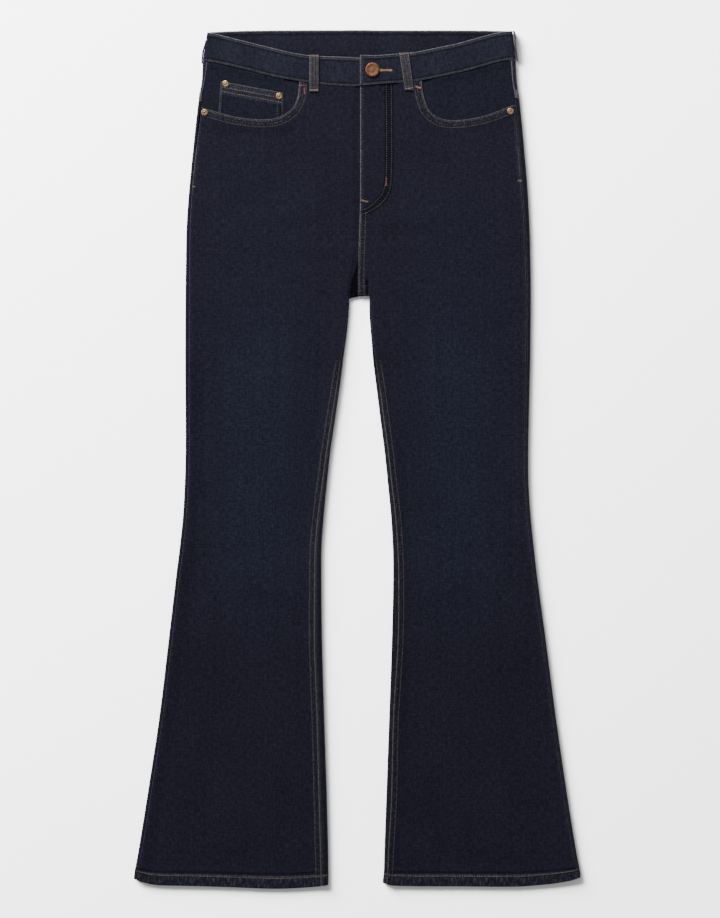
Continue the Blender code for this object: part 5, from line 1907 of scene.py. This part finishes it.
def beside_line(line, distance):
    """A line beside another one, on its outer side."""
    run = np.gradient(line, axis=0)
    run = run / np.hypot(run[:, 0], run[:, 1])[:, None]
    return line + distance * np.stack([-run[:, 1], run[:, 0]], 1)


def upright(across_at, low, high):
    """A line that climbs from one height to another."""
    height = np.linspace(low, high, 160)
    return np.stack([across_at(height) + 0.0 * height, height], 1)


def hem_line(side, inset, count):
    """A line along the hem's stitching, a little in from the folds."""
    inner = leg(side, "inner", HEM_DEPTH) + inset
    across = np.linspace(inner, leg(side, "outer", HEM_DEPTH) - inset, count)
    return np.stack([across, HEM_ROW + hem_rise(side, across, HEM_ROW)], 1)


def sew_fronts(finishes):
    """Pocket openings, fly, centre seam, inseams and hems."""
    pockets = Bench()
    rows = Bench()
    hems = Bench()
    fly = Bench()
    for side in SIGN:
        scoop = curve_line(SCOOPS[side], 1.0)
        for distance in SCOOP_ROWS:
            sew(pockets, side, beside_line(scoop[3:-3], distance), front_surface)
        for distance in INSEAM_ROWS:
            def inseam(height, row=distance):
                return leg(side, "inner", height) + leg(side, "inseam", height) + row
            sew(rows, side, upright(inseam, 16.0, INSEAM_TOP - 8), front_surface)
        sew(hems, side, hem_line(side, 1, 120), hem_surface, width=HEM_THREAD)
    for curve in FLY_CURVES:
        line = curve_line(curve, 1.0)
        sew(fly, "left", line, front_surface, pitch=FLY_PITCH, width=FLY_THREAD)
    for distance in RISE_ROWS:
        line = upright(lambda height, row=distance: fly_edge(height) + row, 766, 868)
        sew(rows, "left", line, front_surface)
    sew(rows, "left", [(2.2, 773.6), (12.4, 773.2)], front_surface)
    pockets.make("stitches_pockets", finishes["bronze"])
    rows.make("stitches_seams", finishes["bronze"])
    hems.make("stitches_hems", finishes["amber"])
    fly.make("stitches_fly", finishes["umber"])


def hem_surface(side, across, height):
    """Height of the upper face at the hem, on the front and on the back's strips."""
    outseam, inseam, _, _, _ = front_edges(side, across, height)
    on_front = np.minimum(outseam, inseam) > 0
    return np.where(
        on_front, front_surface(side, across, height), face_height(side, across, height)
    )


def sew_waistband(finishes):
    """The waistband's rows, outside and inside, and the buttonhole."""
    band = Bench()
    for side in SIGN:
        front = 7.0 if side == "left" else -2.0
        back = CENTRE_BACK + 2
        top_end = BAND_SIDE_TOP[side]
        foot_end = BAND_SIDE_FOOT[side]
        for table, start, end, inset, surface, lift in (
            (BAND_TOPS, front, top_end - 3, -BAND_ROW, band_surface, STITCH_LIFT),
            (BAND_FEET, front, foot_end - 3, BAND_FOOT_ROW, band_surface, STITCH_LIFT),
            (BACK_BAND_TOPS, back, top_end - 4, -BAND_INSIDE_ROW, band_inside, STITCH_LIFT),
            (BACK_BAND_TOPS, back, top_end - 4, -BAND_ROW, band_under, SEWN_LIFT),
            (BACK_BAND_FEET, back, foot_end - 4, BAND_FOOT_ROW, band_under, SEWN_LIFT),
        ):
            sew(band, side, beside_edge(table, side, start, end, inset), surface, lift=lift)
    end = BAND_END["left"] + BAND_END_ROW
    sew(band, "left", [(end, 1032.0), (end, 1065.8)], band_surface)
    band.make("stitches_waistband", finishes["bronze"])
    hole = Bench()
    middle = BUTTON.height + BUTTONHOLE_DROP
    for offset in (-0.7, 0.7):
        place = ((BUTTONHOLE[0] + BUTTONHOLE[1]) / 2, middle + offset)
        length = BUTTONHOLE[1] - BUTTONHOLE[0]
        bartack(hole, "left", place, band_surface, length, 0, width=1.3, lift=SEWN_LIFT)
    for step, width in enumerate(BUTTONHOLE_EYE):
        place = (BUTTONHOLE[0] + 1.0 + 1.2 * step, middle)
        bartack(hole, "left", place, band_surface, 1.2, 0, width=width, lift=0.3)
    bartack(hole, "left", (BUTTONHOLE[1], middle), band_surface, 1.4, 0, width=3.2)
    hole.make("stitches_buttonhole", finishes["orange"])


def sew_pockets(finishes):
    """The small pocket and the back pockets."""
    coin = Bench()
    hem = Bench()
    slope = (COIN_TOP_LEFT - COIN_TOP_RIGHT) / (COIN_LEFT - COIN_RIGHT)
    for row in COIN_HEM_ROWS:
        ends = [COIN_RIGHT + 2, COIN_LEFT - 1]
        line = [(across, COIN_TOP_RIGHT + slope * (across - COIN_RIGHT) - row) for across in ends]
        sew(hem, "right", line, coin_surface, width=COIN_THREAD)
    hem.make("stitches_small_pocket_hem", finishes["clay"])
    for top, foot in (
        ((COIN_RIGHT + COIN_SIDE_ROW, COIN_TOP_RIGHT - 3), (COIN_RIGHT + COIN_SIDE_ROW, 988.0)),
        ((COIN_LEFT - COIN_SIDE_ROW, COIN_TOP_LEFT - 3), (COIN_LEFT + 2.9 - COIN_SIDE_ROW, 992.0)),
        ((COIN_RIGHT + COIN_INNER_ROW, COIN_TOP_RIGHT - 15), (COIN_RIGHT + COIN_INNER_ROW, 988.0)),
    ):
        sew(coin, "right", [top, foot], coin_surface)
    coin.make("stitches_small_pocket", finishes["bronze"])
    back = Bench()
    top, foot = back_pocket_outline()
    for side in SIGN:
        for row in POCKET_ROWS:
            inner = [
                (top[0][0] - row, top[0][1] - 1), (foot[0][0] - row, foot[0][1] + row * 0.6),
                (foot[1][0], foot[1][1] + row * 1.1), (foot[2][0] + row, foot[2][1] + row * 0.6),
                (top[2][0] + row, top[2][1] - 1),
            ]
            sew(back, side, finer(inner, 200), pocket_surface, lift=SEWN_LIFT)
        for row in POCKET_HEM_ROWS:
            line = [(top[0][0] - 2, top[0][1] - row), (top[2][0] + 2, top[2][1] - row)]
            sew(back, side, line, pocket_surface, lift=SEWN_LIFT)
        for row in YOKE_ROWS:
            across = np.linspace(4, leg(side, "outer", 1000) - 6, 60)
            line = np.stack([across, yoke_seam(side, across) + row], 1)
            sew(back, side, line, under_surface, lift=SEWN_LIFT)
        across = leg(side, "outer", YOKE_SIDE[side]) - YOKE_BLOCK_IN[side]
        place = (across, YOKE_SIDE[side] + YOKE_BLOCK_UP)
        block = Bench()
        bartack(
            block, side, place, face_height, YOKE_BLOCK_LENGTH, 90, width=YOKE_BLOCK_WIDTH,
            thick=YOKE_BLOCK_THREAD, lift=YOKE_BLOCK_LIFT,
        )
        block.make(f"stitches_yoke_end_{side}", finishes["sand"])
        sew(back, side, hem_line(side, 4, 100), under_surface, lift=SEWN_LIFT)
    for row in SEAT_ROWS:
        line = upright(lambda height, distance=row: distance - CENTRE_BACK, 768, SEAM_TOP)
        sew(back, "right", line, under_surface, lift=SEWN_LIFT)
    back.make("stitches_back", finishes["bronze"])


def loop_surface(side, across, height):
    """Height of a front loop's upper face."""
    top = FRONT_LOOP_TOPS[side]
    foot = FRONT_LOOP_FEET[side]
    share = np.clip((top[2] - height) / (top[2] - foot[2]), 0, 1)
    start = top[0] + (foot[0] - top[0]) * share
    end = top[1] + (foot[1] - top[1]) * share
    return loop_height(side, np.clip((across - start) / (end - start), 0, 1), share)


def sew_loops(finishes):
    """The belt loops' rows and bars."""
    rows = Bench()
    bars = {"tan": Bench()}
    for side in SIGN:
        for aside in (LOOP_ROW / LOOP_WIDTH, 1 - LOOP_ROW / LOOP_WIDTH):
            shares = np.linspace(0.09, 0.9, 30)
            line = np.stack(loop_place(side, aside, shares), 1)
            sew(rows, side, line, loop_surface, pitch=LOOP_PITCH, width=LOOP_THREAD)
        lean = math.degrees(math.atan2(
            FRONT_LOOP_TOPS[side][0] - FRONT_LOOP_FEET[side][0],
            FRONT_LOOP_TOPS[side][2] - FRONT_LOOP_FEET[side][2],
        ))
        for share in (0.045, 0.95):
            place = loop_place(side, 0.5, share)
            bartack(bars["tan"], side, place, loop_surface, 10.4, -lean, width=2.4)
    rows.make("stitches_loops", finishes["bronze"])
    back = Bench()
    for aside in (-1, 1):
        across = CENTRE_BACK + aside * (LOOP_WIDTH / 2 - LOOP_ROW)
        line = [(across, 1096.0), (across, 1054.0)]
        sew(back, "left", line, flat_ground, width=LOOP_THREAD, lift=0.3)
    for height in (1097.5, 1053.0):
        bartack(back, "left", (CENTRE_BACK, height), flat_ground, 10.0, 0, lift=0.3)
    back.make("stitches_back_loop", finishes["bronze"])
    for bar in BARTACKS.values():
        bench = bars.setdefault(bar.colour, Bench())
        width = 2.0 if bar.colour == "rose" else 2.7
        bartack(bench, bar.side, bar.place, front_surface, bar.length, bar.turn, width=width)
    for colour, bench in bars.items():
        bench.make(f"bartacks_{colour}", finishes[colour])


def flat_ground(side, across, height):
    """The height of the ground."""
    return 0.0 * across


# Metal and the zip


def turned(name, profile, place, ground, finishes, steps, inner=0.0):
    """A round piece spun from a profile of radius and height; inside a radius it has
    its second finish."""
    shape = bmesh.new()
    line = [shape.verts.new((radius * MM, 0, up * MM)) for radius, up in profile]
    edges = [shape.edges.new(pair) for pair in zip(line, line[1:])]
    bmesh.ops.spin(
        shape, geom=line + edges, cent=(0, 0, 0), axis=(0, 0, 1), angle=2 * math.pi,
        steps=steps, use_merge=True,
    )
    bmesh.ops.remove_doubles(shape, verts=shape.verts, dist=0.00001)
    bmesh.ops.recalc_face_normals(shape, faces=shape.faces)
    for face in shape.faces:
        face.material_index = int(face.calc_center_median().xy.length < inner * MM)
    across, height = place
    shift = (across * MM, (height - LENGTH / 2) * MM, ground * MM)
    bmesh.ops.translate(shape, verts=shape.verts, vec=shift)
    mesh = made_mesh(name, shape, *finishes)
    mesh.shade_smooth()
    return placed(name, mesh)


def make_metal(finishes):
    """The button with its shank, and the four rivets."""
    ground = float(band_face("left", BUTTON.across))
    shank = float(band_face("right", -BUTTON.across)) + SEAM_GAP - ground
    profile = [
        (0.0, 2.62), (1.4, 2.6), (2.8, 2.52), (3.6, 2.42), (4.1, 2.38), (4.6, 2.42), (5.5, 2.58),
        (6.4, 2.76), (7.2, 2.86), (7.9, 2.84), (8.5, 2.68), (8.9, 2.36), (BUTTON_RADIUS, 1.95),
        (BUTTON_RADIUS, 1.3), (8.9, 0.8), (8.4, 0.45), (SHANK_RADIUS, 0.4), (SHANK_RADIUS, shank),
        (0.0, shank),
    ]
    button = turned("button_cap", profile, BUTTON, ground, [finishes["button"]], BUTTON_STEPS)
    lay(button, ["button"])
    profile = [
        (0.0, 1.5), (0.5, 1.47), (0.95, 1.36), (1.3, 1.16), (1.65, 1.06), (2.2, 1.15), (2.8, 1.25),
        (3.4, 1.2), (3.9, 1.02), (4.2, 0.78), (RIVET_RADIUS, 0.6), (RIVET_RADIUS, SEAM_GAP),
        (0.0, SEAM_GAP),
    ]
    places = {f"pocket_{side}": (side, place) for side, place in POCKET_RIVETS.items()}
    places.update({f"coin_{name}": ("right", place) for name, place in COIN_RIVETS.items()})
    for name, (side, place) in places.items():
        surface = front_face if name.startswith("pocket") else face_height
        ground = float(surface(side, place.across, place.height)) + RIVET_LIFT
        spot = (SIGN[side] * place.across, place.height)
        rivet = turned(
            f"rivet_cap_{name}", profile, spot, ground, [finishes["rivet"], finishes["stud"]],
            RIVET_STEPS, STUD_RADIUS,
        )
        lay(rivet, [f"rivet_{name}"])


def add_block(shape, centre, size):
    """A block added to a shape."""
    across, height, up = centre
    place = Matrix.Translation(Vector((across, height - LENGTH / 2, up)) * MM)
    scale = Matrix.Diagonal((*[side * MM for side in size], 1))
    return bmesh.ops.create_cube(shape, size=1.0, matrix=place @ scale)


def make_zip(finishes):
    """The closed zip under the fly: tapes, teeth and slider."""
    base = float(strip_face("right", VALLEY_TOP)) - CLOTH
    start = FLY_EDGE + FLY_UNDERLAP + ZIP_GAP
    middle = start + ZIP_WIDTH / 2
    across, height = np.meshgrid(
        np.linspace(start, start + ZIP_WIDTH, 15), np.linspace(ZIP_TOP, FLY_FOOT, 48)
    )
    tape = Cloth("left", across, height, base + 0.7 + 0.05 * ripples(height, 9.0, 0.0))
    piece = shell("zip_tapes", tape, 0.6, [finishes["tape"]])
    lay(piece, ["zip"])
    shape = bmesh.new()
    for number in range(int((ZIP_TOP - FLY_FOOT) / TOOTH_PITCH)):
        height = FLY_FOOT + 2 + number * TOOTH_PITCH
        aside = 0.5 if number % 2 else -0.5
        add_block(shape, (middle + aside, height, base + 0.85), TOOTH_SIZE)
    slider = add_block(shape, (middle, ZIP_TOP - SLIDER_DROP, base + 0.8), SLIDER_SIZE)
    edges = {edge for vertex in slider["verts"] for edge in vertex.link_edges}
    bmesh.ops.bevel(
        shape, geom=list(edges), offset=0.3 * MM, segments=2, profile=0.5, affect="EDGES",
        material=-1,
    )
    lay(placed("zip_teeth", made_mesh("zip_teeth", shape, finishes["button"])))


# The camera, the light and the floor


def make_camera():
    """A camera straight above the garment, at the photograph's framing."""
    data = bpy.data.cameras.new("Camera")
    data.lens = LENS
    data.sensor_width = SENSOR
    camera = placed("Camera", data)
    distance = PHOTO_HEIGHT * LENS / SENSOR
    camera.location = (PHOTO_CENTRE[0] * MM, PHOTO_CENTRE[1] * MM, (distance + CAMERA_GROUND) * MM)
    bpy.context.scene.camera = camera


def make_light(name, place, size, power):
    """A soft light, of a width and a height, that faces the garment."""
    data = bpy.data.lights.new(name, "AREA")
    data.shape = "RECTANGLE"
    data.size, data.size_y = size
    data.energy = power
    light = placed(name, data)
    light.location = place
    light.rotation_mode = "QUATERNION"
    light.rotation_quaternion = (-Vector(place)).to_track_quat("-Z", "Y")
    return light


def make_floor():
    """A plain pale floor, just clear of the cloth's underside."""
    shape = bmesh.new()
    level = Matrix.Translation((0.0, 0.0, -FLOOR_DROP))
    bmesh.ops.create_grid(shape, x_segments=1, y_segments=1, size=6.0, matrix=level)
    finish = Finish("pale_floor").finished({
        "Base Color": FLOOR_TONE, "Roughness": 0.9, "Specular IOR Level": 0.1,
    })
    floor = placed("Floor", made_mesh("Floor", shape, finish))
    return floor


def make_stage():
    """The floor with a soft light of its own, a soft key light, and a pale room."""
    floor = make_floor()
    make_light("Key", KEY_PLACE, KEY_SIZE, KEY_POWER)
    floor_light = make_light("Floor key", FLOOR_KEY_PLACE, FLOOR_KEY_SIZE, FLOOR_KEY_POWER)
    lit = bpy.data.collections.new("Floor light")
    lit.objects.link(floor)
    floor_light.light_linking.receiver_collection = lit
    world = bpy.data.worlds.new("Room")
    world.use_nodes = True
    background = world.node_tree.nodes["Background"]
    background.inputs["Color"].default_value = (0.97, 0.98, 1.0, 1.0)
    background.inputs["Strength"].default_value = ROOM_STRENGTH
    bpy.context.scene.world = world


# The pieces


def lay_sheet(name, node, rests_on, cloth, thickness, finishes, **settings):
    """A sheet in place of a solid; rests_on, the sheet that it rests on, is not used."""
    lay(shell(name, cloth, thickness, finishes, **settings), [node])


def make_cloth(finishes):
    """Every sheet of the jeans."""
    for side in SIGN:
        band = f"band_{side}"
        back = f"panel_back_{side}"
        yoke = f"panel_yoke_{side}"
        pocket = f"patch_pocket_{side}"
        lay_sheet(
            back, f"back_{side}", pocket, back_cloth(side), HEM_CLOTH, [finishes["back"]],
            faces_up=False, hem=True,
        )
        lay_sheet(
            yoke, f"yoke_{side}", back, yoke_cloth(side), CLOTH, [finishes["back"]],
            faces_up=False,
        )
        lay_sheet(
            f"panel_front_{side}", f"front_{side}", back, front_cloth(side), HEM_CLOTH,
            [finishes["front"]], hem=True,
        )
        lay_sheet(
            band, f"waistband_{side}", yoke, band_cloth(side), BAND_CLOTH,
            [finishes["band"], finishes["inside"]], reference=(10, 20),
        )
        lay_sheet(
            f"facing_{side}", f"pocket_facing_{side}", yoke, facing_cloth(side), CLOTH,
            [finishes["pocket"]],
        )
        lay_sheet(
            pocket, f"back_pocket_{side}", back, back_pocket_cloth(side), CLOTH,
            [finishes["back"]], faces_up=False,
        )
        lay_sheet(
            f"loop_front_{side}", f"belt_loop_front_{side}", band, loop_cloth(side), LOOP_CLOTH,
            [finishes["loop"]],
        )
        lay_sheet(
            f"loop_side_{side}", f"belt_loop_side_{side}", band, side_loop_cloth(side),
            SIDE_LOOP_CLOTH, [finishes["loop"]], offset=0,
        )
    lay_sheet(
        "small_pocket", "coin_pocket", "facing_right", coin_cloth(), CLOTH, [finishes["pocket"]],
    )
    lay_sheet(
        "loop_back", "belt_loop_back", "band_left", back_loop_cloth(), BACK_LOOP_CLOTH,
        [finishes["loop"]], faces_up=False,
    )


def main():
    """Dress the jeans."""
    make_camera()
    make_stage()
    finishes = make_finishes()
    make_cloth(finishes)
    make_zip(finishes)
    make_metal(finishes)
    sew_fronts(finishes)
    sew_waistband(finishes)
    sew_pockets(finishes)
    sew_loops(finishes)


main()
